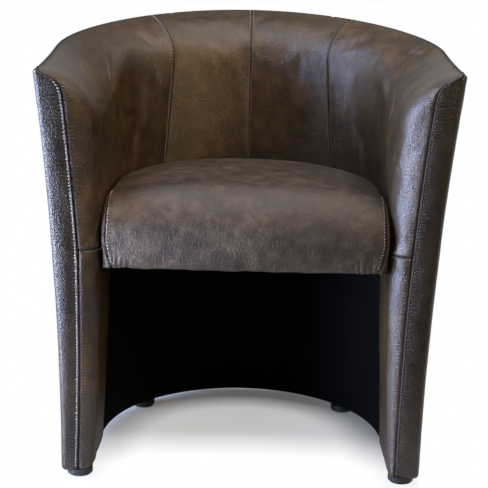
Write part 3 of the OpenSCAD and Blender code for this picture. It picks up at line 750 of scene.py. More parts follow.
def armColumns():
    front = np.concatenate([np.array([-1, -0.985, -0.965, -0.94, -0.91]), np.linspace(-0.87, -0.06, 18)])
    bend = spaced(1, 1.5, 84)
    return np.concatenate([front, np.linspace(0, 1, 96)[:-1], bend[bend > 1.0004]])


def mirrored(us):
    return np.sort(4 - np.asarray(us))


def insidePanel(name, us, lines, seamSides, rimPuckers):
    v, w = insideRows(panels["rows"], panels["rimRows"])
    base = insideGrid(us, v, w, chair["beltHeight"] + chair["gap"])
    grid = puffGrid(name, relax(base, panels["rounding"]), intoTub, panels["held"], panels["puff"])
    across, along, toRight, toTop = edgeRuns(grid)
    n = normalsOf(grid, intoTub)
    h = tuck(across, panels["sideTuck"]) + tuck(toRight, panels["sideTuck"])
    h = h + tuck(toTop, *panels["rimTuck"]) + tuck(along, *panels["footTuck"])
    cloth = np.stack([across, along], axis=-1)
    h += creases(cloth, [([clothPlace(base, cloth, p) for p in points], *size) for points, *size in lines])
    # the arm fronts are fuller where the rim meets the band
    isLeft = seamSides[0] > 0.5
    fromBand, fromBack = (across, toRight) if isLeft else (toRight, across)
    if max(seamSides) > 0.5:
        full = panels["fullLeft"] if isLeft else panels["fullRight"]
        (bandAt, topAt), (bandReach, topReach) = panels["fullAt"], panels["fullReach"]
        h += full * np.exp(-((fromBand - bandAt) / bandReach) ** 2 - ((toTop - topAt) / topReach) ** 2)
    # the crumple on the right arm's rim
    away = np.linalg.norm(base - np.array(panels["crumpleAt"]), axis=-1)
    rumple = lumps(across, toTop, (1, 0.0085, 0.008, 77)) + lumps(across, toTop, (0.5, 0.005, 0.005, 78))
    h += panels["crumple"] * rumple * bell(away, 0, panels["crumpleReach"])
    # gathers that run down from the rim's inner edge
    low, high, size = rimPuckers
    gather = lumps(across, along, (1, 0.011, 0.09, 5 + len(name)))
    gather = gather + lumps(across, along, (0.6, 0.006, 0.07, 9 + len(name)))
    h += size * gather * bell(toTop, low, high) * (0.15 + 0.85 * bell(fromBack, 0, panels["gatherReach"]))
    # slow waves of the padding, and the gathers along sewn sides
    h += panels["wave"] * smoothNoise(grid[..., 0] / 0.05 + grid[..., 1] / 0.07, grid[..., 2] / 0.08, 21)
    side = np.minimum(across, toRight)
    h += lumps(along, side, panels["sideGather"]) * bell(side, *panels["sideGatherAt"])
    finished = grid + n * h[..., None]
    piece = surfacePiece(name, finished, intoTub)
    # painted shade: the seam mark darkens the cover along its edges, where it turns into the seams
    nearest = np.minimum(np.minimum(across, toRight), np.minimum(along, toTop))
    left = bell(across, *panels["puckerAt"]) * seamSides[0]
    right = bell(toRight, *panels["puckerAt"]) * seamSides[1]
    seam = np.clip(1.5 - nearest / panels["seamShadeWidth"], 0, 1)
    marks = {"seam": seam, "pucker": np.clip(left + right, 0, 1)}
    node = name.replace("inside", "inner_cover")
    finishCover(piece, across, along, innerLook, node, marks)
    return finished, n, across, along


armUs = armColumns()
backUs = spaced(1.5, 2, 56)
backRightUs = spaced(2, 2.5, 56)
leftLines = [
    ([(-0.256, 0.056, 0.691), (-0.239, -0.026, 0.637), (-0.235, -0.06, 0.538)], 0.0022, 0.0018),
    ([(-0.285, -0.161, 0.662), (-0.257, -0.207, 0.637)], 0.010, 0.0006),
    ([(-0.246, -0.26, 0.604), (-0.238, -0.249, 0.534)], 0.0030, 0.0014),
    ([(-0.240, -0.215, 0.60), (-0.233, -0.195, 0.50)], 0.0030, 0.0014),
]
rightLines = [
    ([(0.269, 0.015, 0.682), (0.237, -0.141, 0.608), (0.234, -0.126, 0.523)], 0.0020, 0.0022),
    ([(0.288, 0.041, 0.699), (0.316, 0.035, 0.707)], 0.005, 0.0013),
    ([(0.279, -0.06, 0.690), (0.300, -0.09, 0.692)], 0.005, 0.0010),
    ([(0.262, -0.10, 0.672), (0.243, -0.17, 0.630)], 0.006, 0.0010),
    ([(0.285, 0.060, 0.704), (0.304, 0.020, 0.702)], 0.004, 0.0012),
    ([(0.276, 0.075, 0.702), (0.292, 0.071, 0.710)], 0.003, 0.0010),
    ([(0.300, -0.010, 0.696), (0.318, -0.002, 0.700)], 0.004, 0.0009),
]
insideSettings = {  # columns, creases, gathers at the left and right seam, gathers under the rim
    "inside_left": (armUs, leftLines, (0.9, 0.2), (0.085, 0.03, 0.0005)),
    "inside_back_left": (backUs, [], (0.3, 0.3), (0.09, 0.03, 0.0005)),
    "inside_back_right": (backRightUs, [], (0.3, 0.3), (0.085, 0.035, 0.0013)),
    "inside_right": (mirrored(armUs), rightLines, (0.2, 0.9), (0.085, 0.035, 0.0009)),
}
insidePieces = {name: insidePanel(name, *settings) for name, settings in insideSettings.items()}
print("inside panels made")


# Leg covers under the seam beside the seat
legs = {
    "thinFrom": 0.85, "thinOver": 0.12, "liningStep": 0.0038, "rows": 110, "held": (0.004,) * 4, "cap": 0.002,
    "topTuck": (0.004, 0.0018), "hemTuck": (0.006, 0.003), "sideGather": (0.0004, 0.0045, 0.02, 33),
    "sideGatherAt": (0.007, 0.006), "wave": (0.0006, 0.03, 0.07, 41),
}


def legPoint(u, z, k):
    u, z = together(u, z)
    p = innerPoint(u, z, np.zeros_like(u), k)
    thin = np.maximum(0, (fold(u) - legs["thinFrom"]) / legs["thinOver"])
    p[..., 0] += sideOf(u) * thin * (wall(z) - (chair["foamDepth"] + legs["liningStep"]))
    return p


def intoLegs(grid):
    return np.array([0.0, -0.35, 0.2]) - grid


def legPanel(name, us):
    z = spaced(chair["hemHeight"], chair["beltHeight"] - chair["gap"], legs["rows"])[:, None]
    grid = legPoint(np.asarray(us)[None, :], z, 0.0)
    grid = puffGrid(name, grid, intoTub, legs["held"], dict(panels["puff"], cap=legs["cap"]))
    across, along, toRight, toTop = edgeRuns(grid)
    n = normalsOf(grid, intoLegs)
    frontSeam = toRight if us[0] > 2 else across
    h = tuck(frontSeam) + tuck(toTop, *legs["topTuck"]) + tuck(along, *legs["hemTuck"])
    h += lumps(along, frontSeam, legs["sideGather"]) * bell(frontSeam, *legs["sideGatherAt"])
    h += lumps(frontSeam, along, legs["wave"])
    finished = grid + n * h[..., None]
    piece = surfacePiece(name, finished, intoTub)
    # painted shade: the seam mark darkens the cover along its front seam, top and hem
    nearest = np.minimum(frontSeam, np.minimum(toTop, along))
    seam = np.clip(1.25 - nearest / panels["seamShadeWidth"], 0, 1)
    marks = {"seam": seam, "pucker": bell(frontSeam, *panels["puckerAt"]) * 0.9}
    finishCover(piece, across, along, innerLook, name.replace("leg", "leg_cover"), marks)
    return finished, n, across, along


legUs = np.concatenate([armUs[armUs < 0], np.linspace(0, legs["thinFrom"], 46), [0.88, 0.91, 0.94, 0.97]])
legPieces = {"leg_left": legPanel("leg_left", legUs), "leg_right": legPanel("leg_right", mirrored(legUs))}
print("leg covers made")


# Outside covers: the bands on the arm fronts belong to the side covers
outer = {
    "welt": 0.0014, "rightWelt": 0.45, "stitchLine": 0.0046, "dip": 0.0008, "crown": 0.0024,
    "weltAt": (0.0026, 0.0015), "rightWeltShadeAt": (0.0016, 0.0013), "stitchWidth": 0.0012,
    "bandTuck": (0.0022, 0.002), "bandGather": (1, 0.0048, 0.03, 51), "bandWave": (0.0008, 0.045, 0.03),
    "heldBand": 0.05, "heldSide": 0.004, "heldHem": 0.012, "heldTop": 0.02, "seamShadeWidth": 0.003,
    "puff": {
        "stiffness": 15, "bending": 0.8, "pressure": 0.8, "slack": 0.003, "frames": 12, "cap": 0.0015,
        "step": 0.009},
}


def outerRows():
    hem = np.array([0.0, 0.0003, 0.001, 0.002, 0.0034, 0.005])
    v = np.linspace(0, 1, 150)
    w = np.concatenate([np.linspace(0, 0.84, 26)[1:], np.linspace(0.84, 1, 16)[1:]])
    kind = np.concatenate([np.full(len(hem), -1), np.zeros(len(v)), np.ones(len(w))])
    value = np.concatenate([hem, v, w])
    return kind[:, None], value[:, None]


def outerGrid(us):
    us = np.asarray(us)[None, :]
    kind, value = outerRows()
    top = rim(us, chair["cornerRound"])
    r = chair["edgeRound"]
    w = np.where(kind > 0, value, 0)
    zHem = chair["hemHeight"] + value + 0 * us
    zSide = mix(chair["hemHeight"] + r, top - fullDrop, value)
    zRim = top - np.where(value > 0.9999, 0, np.maximum(0, rimDrop(w, 0)))
    z = np.where(kind < 0, zHem, np.where(kind > 0, zRim, zSide))
    roll = np.where(kind > 0, corner(top - z, r), corner(z - chair["hemHeight"], r))
    return outerPoint(us, z, w, roll)


def outerCover(name, us, bandSide):  # the band is on the cover's left (-1), its right (1) or absent (0)
    left = outer["heldBand"] if bandSide < 0 else outer["heldSide"]
    right = outer["heldBand"] if bandSide > 0 else outer["heldSide"]
    held = (left, right, outer["heldHem"], outer["heldTop"])
    grid = puffGrid(name, outerGrid(us), awayFromTub, held, outer["puff"])
    across, along, toRight, toTop = edgeRuns(grid)
    x, y, z = grid[..., 0], grid[..., 1], grid[..., 2]
    n = normalsOf(grid, awayFromTub)
    bandSeam, backSeam = (across, toRight) if bandSide < 0 else (toRight, across)
    if bandSide == 0:
        h = tuck(across) + tuck(toRight)
        nearest = np.minimum(np.minimum(across, toRight), toTop)
        pucker = 0.35 * bell(np.minimum(across, toRight), *panels["puckerAt"])
    else:
        ridge = (outer["rightWelt"] if bandSide > 0 else 1) * bell(bandSeam, *outer["weltAt"])
        dip = outer["dip"] / outer["welt"] * bell(bandSeam, outer["stitchLine"], outer["stitchWidth"])
        h = tuck(bandSeam, *outer["bandTuck"]) + outer["welt"] * (ridge - dip) + tuck(backSeam)
        reach = 0.010 + 0.006 * np.clip(1 - z / 0.4, 0, 1)  # the gathers reach further in near the floor
        gather = lumps(along, bandSeam, outer["bandGather"]) * np.clip(bell(bandSeam, 0.008, reach), 0, 1)
        h += 0.00045 * gather
        slow = lumps(z, bandSeam, (*outer["bandWave"], 61 + bandSide))
        h += slow * np.clip(bandSeam / 0.01, 0, 1) * bell(bandSeam, 0, 0.03)
        wide = band(np.minimum(z, lowTop), bandSide)
        below = np.clip((toTop - 0.03) / 0.08, 0, 1)
        h += outer["crown"] * below * np.sin(math.pi * np.clip((bandSeam - 0.006) / (wide - 0.004), 0, 1))
        nearest = np.minimum(np.minimum(bandSeam, backSeam), toTop)
        pucker = np.clip(bell(bandSeam, 0.006, 0.008), 0, 1)
    h += 0.0006 * smoothNoise(x / 0.07 + y / 0.06, z / 0.09, 71) * np.clip(nearest / 0.03, 0, 1)
    finished = grid + n * h[..., None]
    piece = surfacePiece(name, finished, awayFromTub)
    # painted shade: a dark line beside the band stitches, a dark line along the right band's welt, and the
    # seam mark along the seams and top
    sewnShade = abs(bandSide) * 0.8 * bell(bandSeam - outer["stitchLine"], 0.0008, outer["stitchWidth"])
    if bandSide > 0:
        sewnShade = sewnShade + 0.8 * bell(bandSeam, *outer["rightWeltShadeAt"])
    seam = np.clip(1 - nearest / outer["seamShadeWidth"], 0, 1) ** 1.5
    marks = {"seam": np.maximum(seam, sewnShade), "pucker": pucker}
    node = name.replace("outside", "outer_cover")
    finishCover(piece, across, along, outerLook, node, marks)
    return finished, n, across, along


outerUs = np.concatenate([
    [-1, -0.993, -0.985, -0.976, -0.966, -0.954, -0.942, -0.928, -0.912, -0.895, -0.875],
    np.linspace(-0.85, -0.5, 14), np.linspace(-0.5, 0, 12)[1:], np.linspace(0, 1, 50)[1:],
    spaced(1, 1.6, 50)[1:],
])
outerPieces = {
    "outside_left": outerCover("outside_left", outerUs, -1),
    "outside_back": outerCover("outside_back", spaced(1.6, 2.4, 64), 0),
    "outside_right": outerCover("outside_right", mirrored(outerUs), 1),
}
print("outside covers made")


# Padding under the covers, which hides nothing but is there when a cover is taken off
layers = {
    "boardOut": 0.00675, "studOut": 0.00975, "foamOut": 0.04635, "liningIn": 0.04715, "chamferBack": 0.03075,
    "frameDrop": 0.026, "baseZ": 0.0153, "underCover": 0.0075, "waddingOut": 0.0042, "waddingIn": 0.0059,
}


def framePoint(u, z, w, size):
    u, z, w, size = together(u, z, w, size)
    side = sideOf(u)
    f = fold(u)
    over = np.where(w <= 1 / 3, 0, (w - 1 / 3) * 1.5)
    high = insideRim(u) - layers["frameDrop"] + 0.00045
    zz = np.where(w == 0, z, np.minimum(high, mix(insideRim(u) - fullDrop, high, w * 3)))
    sideDepth = mix(layers["foamOut"], layers["studOut"], over)
    start = np.where(f < 0, mix(layers["foamOut"], band(np.minimum(zz, lowTop), side), -f), layers["foamOut"])
    span = layers["foamOut"] - layers["boardOut"]
    d = layers["boardOut"] + (sideDepth - layers["boardOut"]) * (start - layers["boardOut"]) / span
    p = shellPoint(u, zz, d, size)
    front = frontY(zz) + mix(layers["chamferBack"], layers["boardOut"] - chair["gap"], -f)
    p[..., 1] = np.where(f < 0, front, p[..., 1])
    return p


def blockPiece(name, top, under):  # closed solid between two grids of the same size
    rows, cols = top.shape[:2]
    count = rows * cols
    faces = gridFaces(rows, cols, False)
    faces += [[i + count for i in reversed(f)] for f in faces]
    foot, head = list(range(cols)), [(rows - 1) * cols + c for c in range(cols - 2, -1, -1)]
    right, left = [r * cols + cols - 1 for r in range(1, rows)], [r * cols for r in range(rows - 2, 0, -1)]
    ring = foot + right + head + left
    faces += [[a, a + count, b + count, b] for a, b in zip(ring, ring[1:] + ring[:1])]
    piece = newPiece(name, np.concatenate([top.reshape(-1, 3), under.reshape(-1, 3)]), faces)
    turnOutwards(piece, 0.00002)
    smooth(piece, 40)
    return piece


def softBlock(name, top, under, material, slot, node):
    piece = dress(blockPiece(name, top, under), material, slot, [node])


def shellFoam(name, us):
    v, w = insideRows(24, 16)
    us = np.asarray(us)[None, :]
    k = layers["underCover"]
    z = insideHeight(us, v, w, chair["beltHeight"] + 0.002, k)
    low = np.minimum(z, lowTop)
    size = np.maximum(layers["chamferBack"], wall(low) - band(low, sideOf(us)))
    top, under = innerPoint(us, z, w, k), framePoint(us, z, w, size)
    softBlock(name, top, under, foam, "foam", name.replace("padding", "foam"))


def legFoam(name, us):
    z = np.linspace(layers["baseZ"] + 0.004, chair["beltHeight"] - 0.003, 30)[:, None]
    us = np.asarray(us)[None, :]
    size = np.maximum(layers["chamferBack"], wall(z) - band(z, sideOf(us)))
    top, under = legPoint(us, z, layers["underCover"]), framePoint(us, z, np.zeros_like(z), size)
    softBlock(name, top, under, foam, "foam", name.replace("padding", "foam"))


coarseFront = np.linspace(-1, -1 / 12, 12)
coarseArm = np.concatenate([coarseFront, np.linspace(0, 1, 20)[:-1], np.linspace(1, 1.5, 16)])
coarseLeg = np.concatenate([coarseFront, np.linspace(0, legs["thinFrom"], 16), [0.9, 0.94]])
shellFoam("arm_padding_left", coarseArm)
shellFoam("back_padding", np.linspace(1.5, 2.5, 34))
shellFoam("arm_padding_right", mirrored(coarseArm))
legFoam("leg_padding_left", coarseLeg)
legFoam("leg_padding_right", mirrored(coarseLeg))


def outerWadding():
    us = np.concatenate([
        np.linspace(-0.97, 0, 14), np.linspace(0, 1, 16)[1:], np.linspace(1, 3, 60)[1:],
        np.linspace(3, 4, 16)[1:], 4 - np.linspace(0, -0.97, 14)[1:]])[None, :]
    v = np.concatenate([np.linspace(0, 1, 30), np.ones(6)])[:, None]
    w = np.concatenate([np.zeros(30), np.linspace(0, 0.5, 7)[1:]])[:, None]
    top = rim(us, chair["cornerRound"])
    z = np.where(w > 0, top - rimDrop(w, 0), mix(chair["hemHeight"] + 0.007, top - fullDrop, v))
    over, under = outerPoint(us, z, w, layers["waddingOut"]), outerPoint(us, z, w, layers["waddingIn"])
    softBlock("shell_wadding", over, under, wadding, "wadding", "outer_wadding")


outerWadding()
print("padding made")


# The seat: top cover and side strip sewn together, puffed over the foam
planHeight = 0.410  # the seat's outline follows the walls at this height
seat = {
    "half": float(halfWidth(planHeight) - wall(planHeight) - 0.0035), "bend": float(bendY(planHeight)),
    "back": float(backY(planHeight) - wall(planHeight) - 0.0035), "front": 0.028 - 0.283, "bottom": 0.354,
    "rollDepth": 0.072, "rollDrop": 0.066, "crownAcross": 0.011, "crownAlong": 0.009,
    "edge": 0.0115, "seamIn": 0.0055, "under": 0.009, "cornerIn": 0.012, "cornerTop": 0.402,
    "cornerSpan": 0.048, "sideCap": 0.0027, "coverDepth": 0.005, "tuck": (0.005, 0.002), "frontY": -0.2,
    "cornerGather": (0.0011, 0.0075, 0.06, 85), "frontGather": (0.0008, 0.016, 0.05, 87),
    "sideGather": (0.0004, 0.005, 0.02, 89), "sideGatherAt": (0.008, 0.006), "seamShadeWidth": 0.0035,
    "puckerAt": (0.004, 0.006), "stitchLine": 0.0040,
    "puff": {"stiffness": 14, "bending": 1.5, "pressure": 2.4, "slack": 0.012, "frames": 20, "cap": 0.008},
}
seat["rollY"] = seat["front"] + seat["rollDepth"]


def seatTop(x, y):
    u = x / seat["half"]
    middle = (seat["back"] + seat["front"]) / 2
    v = (y - middle) / (seat["back"] - middle)
    crown = seat["crownAlong"] * (1 - v * v) * (1 - u ** 4)
    return chair["seatEdge"] + seat["crownAcross"] * (1 - u * u) + crown


def seatDrop(q, wider=0.0):  # how far the cover has come down, q inward from the widest outline
    r = seat["edge"] + wider
    return r - np.sqrt(np.maximum(0, r * r - np.maximum(0, r - np.maximum(q, 0)) ** 2))


def seatProfile(x, v, inset):  # front of the seat: roll 1 to 2, front 2 to 3, turn under 3 to 3.5
    top = seatTop(x, seat["rollY"])
    a = np.radians(90 * (np.clip(v, 1, 2) - 1))
    y = seat["rollY"] - seat["rollDepth"] * np.sin(a)
    z = top - seat["rollDrop"] + seat["rollDrop"] * np.cos(a)
    ny, nz = -np.sin(a) * seat["rollDrop"], np.cos(a) * seat["rollDepth"]
    long = np.hypot(ny, nz)
    ny, nz = ny / long, nz / long
    z = z - np.clip(v - 2, 0, 1) * (top - seat["rollDrop"] - seat["bottom"] - seat["under"])
    b = np.radians(90 * np.clip((v - 3) / 0.5, 0, 1))
    under = y + np.maximum(seat["under"] * (1 - np.cos(b)), inset)
    z = z - seat["under"] * np.sin(b)
    y = np.where(v > 3, under, y - ny * inset)
    return np.stack([x + 0 * y, y, np.where(v > 3, z, z - nz * inset)], axis=-1)


def outlineInset(inset, count, start=40):  # back arc of the seat in plan, and the left side up to it
    a, b = seat["half"] - inset, seat["back"] - seat["bend"] - inset
    t = np.radians(np.linspace(start, 180 - start, count))
    backLine = np.stack([-a * np.cos(t), seat["bend"] + b * np.sin(t)], axis=1)
    t = np.radians(np.linspace(0, start, 60))
    side = np.stack([-a * np.cos(t), seat["bend"] + b * np.sin(t)], axis=1)
    return backLine, np.concatenate([[[-a, seat["rollY"]]], side])


def runOf(line):  # distance travelled along a line of points
    return np.concatenate([[0], np.cumsum(np.linalg.norm(np.diff(line, axis=0), axis=1))])


def resample(line, shares):
    run = runOf(line)
    return np.stack([np.interp(shares * run[-1], run, line[:, i]) for i in range(line.shape[1])], axis=1)


def flatSeat(inset, s, t):  # rows from the roll to the back, over the plan shape of the seat
    backLine, side = outlineInset(inset, 200)
    backLine, left = resample(backLine, s), resample(side, t)
    right = left * np.array([-1, 1])
    a = seat["half"] - inset
    frontLine = np.stack([mix(-a, a, s), np.full(len(s), seat["rollY"])], axis=1)
    s, t = s[None, :, None], t[:, None, None]
    grid = (1 - t) * frontLine[None] + t * backLine[None] + (1 - s) * left[:, None] + s * right[:, None]
    corners = (1 - s) * (1 - t) * frontLine[0] + s * (1 - t) * frontLine[-1]
    return grid - (corners + (1 - s) * t * backLine[0] + s * t * backLine[-1])


def insideOutline(x, y):  # distance inward from the widest outline
    b = seat["back"] - seat["bend"]
    arc = (1 - np.hypot(x / seat["half"], np.maximum(0, y - seat["bend"]) / b)) * (seat["half"] + b) / 2
    return np.where(y <= seat["bend"], seat["half"] - np.abs(x), arc)


def seatGrids(wide, deep, rolls, fine):
    s, t = spaced(0, 1, wide, fine), spaced(0, 1, deep, fine)
    plan = flatSeat(seat["seamIn"], s, t)
    x, y = plan[..., 0], plan[..., 1]
    top = np.stack([x, y, seatTop(x, y) - seatDrop(insideOutline(x, y))], axis=-1)
    turned, straight, rolled = rolls
    v = np.concatenate([
        np.linspace(3.5, 3, turned), np.linspace(3, 2, straight)[1:], np.linspace(2, 1, rolled)[1:-1]])
    v = v[:, None]
    # the side seams run inward at the lower front corners
    height = mix(chair["seatEdge"] - seat["rollDrop"], seat["bottom"] + seat["under"], v - 2)
    height = np.where(v <= 3, height, seat["bottom"] + seat["under"] * (3.5 - v) * 2)
    below = np.clip(seat["cornerTop"] - height, 0, seat["cornerSpan"]) / seat["cornerSpan"]
    inward = seat["cornerIn"] * below ** 1.7 * (v > 2)
    xs = x[0][None, :] * (1 - inward / (seat["half"] - seat["seamIn"]))
    front = seatProfile(xs, v + 0 * xs, seatDrop(seat["half"] - np.abs(xs), inward))
    cover = np.concatenate([front, top])
    # the side strip starts on the cover's edge, goes round the widest line and down
    rows = len(front)
    edge = np.concatenate([cover[:, 0], cover[-1, 1:-1], cover[::-1, -1]])
    vEdge = np.concatenate([v[:, 0], np.ones(len(cover) - rows)])
    vEdge = np.concatenate([vEdge, np.ones(cover.shape[1] - 2), vEdge[::-1]])
    strip = [edge]
    rounder = np.concatenate([inward[:, 0], np.zeros(len(cover) - rows)])
    rounder = np.concatenate([rounder, np.zeros(cover.shape[1] - 2), rounder[::-1]])
    b = seat["back"] - seat["bend"]
    onArc = np.maximum(0, edge[:, 1] - seat["bend"])
    nx, ny = edge[:, 0] / seat["half"] ** 2, onArc / b ** 2
    long = np.hypot(nx, ny)
    nx, ny = nx / long, ny / long
    isFront = vEdge > 1
    sign = np.sign(edge[:, 0])
    for q in (0.0051, 0.0046, 0.0040, 0.0034, 0.0028, 0.0022, 0.0016, 0.0011, 0.0006, 0.0002, 0.0):
        out = seat["seamIn"] - q
        z = seatTop(edge[:, 0], edge[:, 1]) - seatDrop(q)
        side = np.stack([edge[:, 0] + nx * out, edge[:, 1] + ny * out, z], axis=1)
        deep = q * (1 + rounder / seat["seamIn"])
        ends = seatProfile(sign * (seat["half"] - deep), vEdge, seatDrop(deep, rounder))
        strip.append(np.where(isFront[:, None], ends, side))
    widest = strip[-1]
    lowY = mix(seat["rollY"], seat["front"] + seat["edge"], np.clip((vEdge - 1) / 2.5, 0, 1) ** 0.7)
    lowY = np.where(isFront, lowY, widest[:, 1])
    for share in np.linspace(0, 1, 18)[1:]:
        row = widest.copy()
        row[:, 1] = mix(widest[:, 1], lowY, share)
        row[:, 2] = mix(widest[:, 2], np.minimum(widest[:, 2], seat["bottom"]), share)
        tuckIn = 0.001 * max(0, share - 0.7) / 0.3
        row[:, 0] -= np.where(isFront, sign, nx) * tuckIn
        row[:, 1] -= np.where(isFront, 0, ny) * tuckIn
        strip.append(row)
    rowShares = np.concatenate([1 - v[:, 0], t])
    edgeShares = np.concatenate([rowShares, 2 + s[1:-1], 4 - rowShares[::-1]])
    return cover, np.stack(strip), rowShares, s, edgeShares


def sewnSeat():  # one skin for the simulation, then cut along the seam again
    fineCover, fineStrip, fineRows, fineCols, fineEdge = seatGrids(190, 96, (7, 28, 40), True)
    cover, strip, coarseRows, coarseCols, coarseEdge = seatGrids(62, 44, (3, 8, 17), False)
    rows, cols = cover.shape[:2]
    faces = gridFaces(rows, cols, False)
    edgeIds = [r * cols for r in range(rows)] + [(rows - 1) * cols + c for c in range(1, cols - 1)]
    edgeIds += [r * cols + cols - 1 for r in range(rows - 1, -1, -1)]
    lowerIds = rows * cols + np.arange((len(strip) - 1) * len(edgeIds)).reshape(len(strip) - 1, -1)
    stripIds = np.concatenate([np.array(edgeIds)[None, :], lowerIds])
    for upper, lower in zip(stripIds.tolist(), stripIds[1:].tolist()):
        faces += [[upper[i], upper[i + 1], lower[i + 1], lower[i]] for i in range(len(edgeIds) - 1)]
    points = np.concatenate([cover.reshape(-1, 3), strip[1:].reshape(-1, 3)])
    skin = newPiece("seat_skin", points, faces)
    turnOutwards(skin)
    held = np.zeros(len(points))
    held[stripIds[0]] = 0.5
    held[stripIds[-2:].ravel()] = 1
    held[:2 * cols] = 1
    if sum(p.normal.z * p.area for p in skin.data.polygons) < 0:
        skin.data.flip_normals()
    puff(skin, held, seat["puff"])
    done = places(skin)
    # the sides keep their place between the arms
    sideIds = stripIds[1:].ravel()
    move = done[sideIds] - points[sideIds]
    far = np.maximum(np.linalg.norm(move, axis=1, keepdims=True), 1e-9)
    done[sideIds] = points[sideIds] + move * np.minimum(1, seat["sideCap"] / far)
    bpy.data.objects.remove(skin, do_unlink=True)
    coverMove = calm(done[:rows * cols].reshape(cover.shape) - cover, 36)
    coverMove = spread(coverMove, coarseRows, coarseCols, fineRows, fineCols, 20)
    levels = np.arange(len(strip))
    stripMove = spread(done[stripIds] - strip, levels, coarseEdge, levels, fineEdge, 6)
    stripMove[0] = np.concatenate([coverMove[:, 0], coverMove[-1, 1:-1], coverMove[::-1, -1]])
    return relax(fineCover + coverMove, 14, 2), fineStrip + stripMove


def upAndForward(grid):
    return grid - np.array([0.0, -0.03, 0.30])


def fromSeatMiddle(grid):
    return grid - np.array([0.0, -0.06, 0.30])


coverGrid, stripGrid = sewnSeat()


def pleat(x, lean, top, depth):  # a fold that starts under the front edge and runs up
    return [(x, seat["bottom"] - (top - seat["bottom"]) * 0.6), (x + lean, top)], 0.0021, -depth


seatPleats = [pleat(*settings) for settings in (  # x, lean, top and depth of each
    (-0.2125, 0.002, 0.372, 0.0016), (-0.2060, 0.004, 0.378, 0.0019), (-0.1985, 0.004, 0.371, 0.0015),
    (-0.1905, 0.005, 0.367, 0.0012), (-0.1700, 0.004, 0.363, 0.0008), (0.1700, -0.003, 0.366, 0.0012),
    (0.1780, -0.005, 0.373, 0.0018), (0.1855, -0.004, 0.377, 0.0019), (0.1935, -0.002, 0.370, 0.0016),
    (0.2015, 0.002, 0.374, 0.0017), (0.2090, 0.002, 0.368, 0.0013),
)]


def seatTopCover():
    across, along, toRight, toTop = edgeRuns(coverGrid)
    n = normalsOf(coverGrid, upAndForward)
    side = np.minimum(across, toRight)
    h = tuck(side, *seat["tuck"]) + tuck(toTop, *seat["tuck"])
    h += 0.0006 * bell(side, 0.0045, 0.0022)
    # soft dents on the top, gathers at the lower front corners and along the bottom edge
    x, y, z = coverGrid[..., 0], coverGrid[..., 1], coverGrid[..., 2]
    h += 0.0003 * smoothNoise(x / 0.07, y / 0.06 + z / 0.05, 81) * np.clip(side / 0.03, 0, 1)
    h += 0.00015 * smoothNoise(x / 0.022, y / 0.025 + z / 0.02, 83) * np.clip(side / 0.02, 0, 1)
    low = bell(z, seat["bottom"], 0.022) * (y < seat["frontY"])
    h += lumps(x, z, seat["cornerGather"]) * low * bell(side, 0.022, 0.02)
    h += lumps(x, z, seat["frontGather"]) * low
    farOff = 9  # keeps the pleats off the back
    h += creases(np.stack([x, np.where(y < seat["frontY"], z, farOff)], axis=-1), seatPleats)
    h += lumps(along, side, seat["sideGather"]) * bell(side, *seat["sideGatherAt"])
    grid = coverGrid + n * h[..., None]
    piece = surfacePiece("seat_top_cover", grid, upAndForward)
    # painted shade: the seam mark darkens the cover at its seams, with a fainter dark line under the stitches
    seam = np.clip(1 - np.minimum(side, toTop) / seat["seamShadeWidth"], 0, 1) ** 1.5
    seam = np.maximum(seam, 0.5 * bell(side, seat["stitchLine"], 0.0011))
    marks = {"seam": seam, "pucker": bell(side, *seat["puckerAt"])}
    finishCover(piece, across, along, seatLook, "seat_cover", marks)
    return grid, n, across, along


def seatSideStrip():
    around, fall = lengths(stripGrid, 1), lengths(stripGrid, 0)
    n = normalsOf(stripGrid, fromSeatMiddle)
    grid = stripGrid + n * tuck(fall, *seat["tuck"])[..., None]
    strip = surfacePiece("seat_side_strip", grid, fromSeatMiddle)
    # painted shade: the seam mark darkens the strip along its sewn top edge
    seam = np.clip(1 - fall / seat["seamShadeWidth"], 0, 1) ** 1.5
    marks = {"seam": seam, "pucker": bell(fall, *seat["puckerAt"])}
    finishCover(strip, around, fall, seatLook, "seat_boxing", marks, uv=(fall, around))


seatMade = seatTopCover()
seatSideStrip()

seatFrame = {
    "pad": 0.014, "railTop": 0.4013, "clip": 0.0049, "rise": 0.014, "felt": 0.004, "sideIn": 0.0035,
    "railThick": 0.025,
}
seatFrame["start"] = seat["front"] + seatFrame["pad"] + chair["gap"] + seatFrame["railThick"] / 2


def springLine(x):  # where the springs end at the back
    inset = seatFrame["sideIn"] + seatFrame["railThick"] / 2
    a, b = seat["half"] - inset, seat["back"] - seat["bend"] - inset
    return seat["bend"] + b * np.sqrt(np.maximum(0, 1 - (x / a) ** 2))


def feltHeight(x, y):
    t = np.clip((y - seatFrame["start"]) / np.maximum(0.01, springLine(x) - seatFrame["start"]), 0, 1)
    arch = seatFrame["rise"] * 4 * t * (1 - t) * (1 - (x / seat["half"]) ** 2)
    return seatFrame["railTop"] + seatFrame["clip"] + chair["gap"] + arch


def seatPadding():
    inner = coverGrid - normalsOf(coverGrid, upAndForward) * seat["coverDepth"]
    grid = np.concatenate([inner[::3, ::3][2:], inner[-1:, ::3]])
    bed = feltHeight(grid[..., 0], grid[..., 1]) + seatFrame["felt"] + 0.001
    under = grid.copy()
    isFront = grid[..., 1] < seat["rollY"] - 0.001
    under[..., 2] = np.where(isFront, np.minimum(bed, grid[..., 2] - 0.002), bed)
    frontFace = seat["front"] + seatFrame["pad"]
    low = grid[..., 2] < seatFrame["railTop"] + 0.012
    under[..., 1] = np.where(isFront, np.maximum(grid[..., 1] + 0.001, frontFace), grid[..., 1])
    under[..., 2] = np.where(isFront & low, grid[..., 2], under[..., 2])
    softBlock("seat_padding", grid, under, foam, "foam", "seat_foam")


seatPadding()


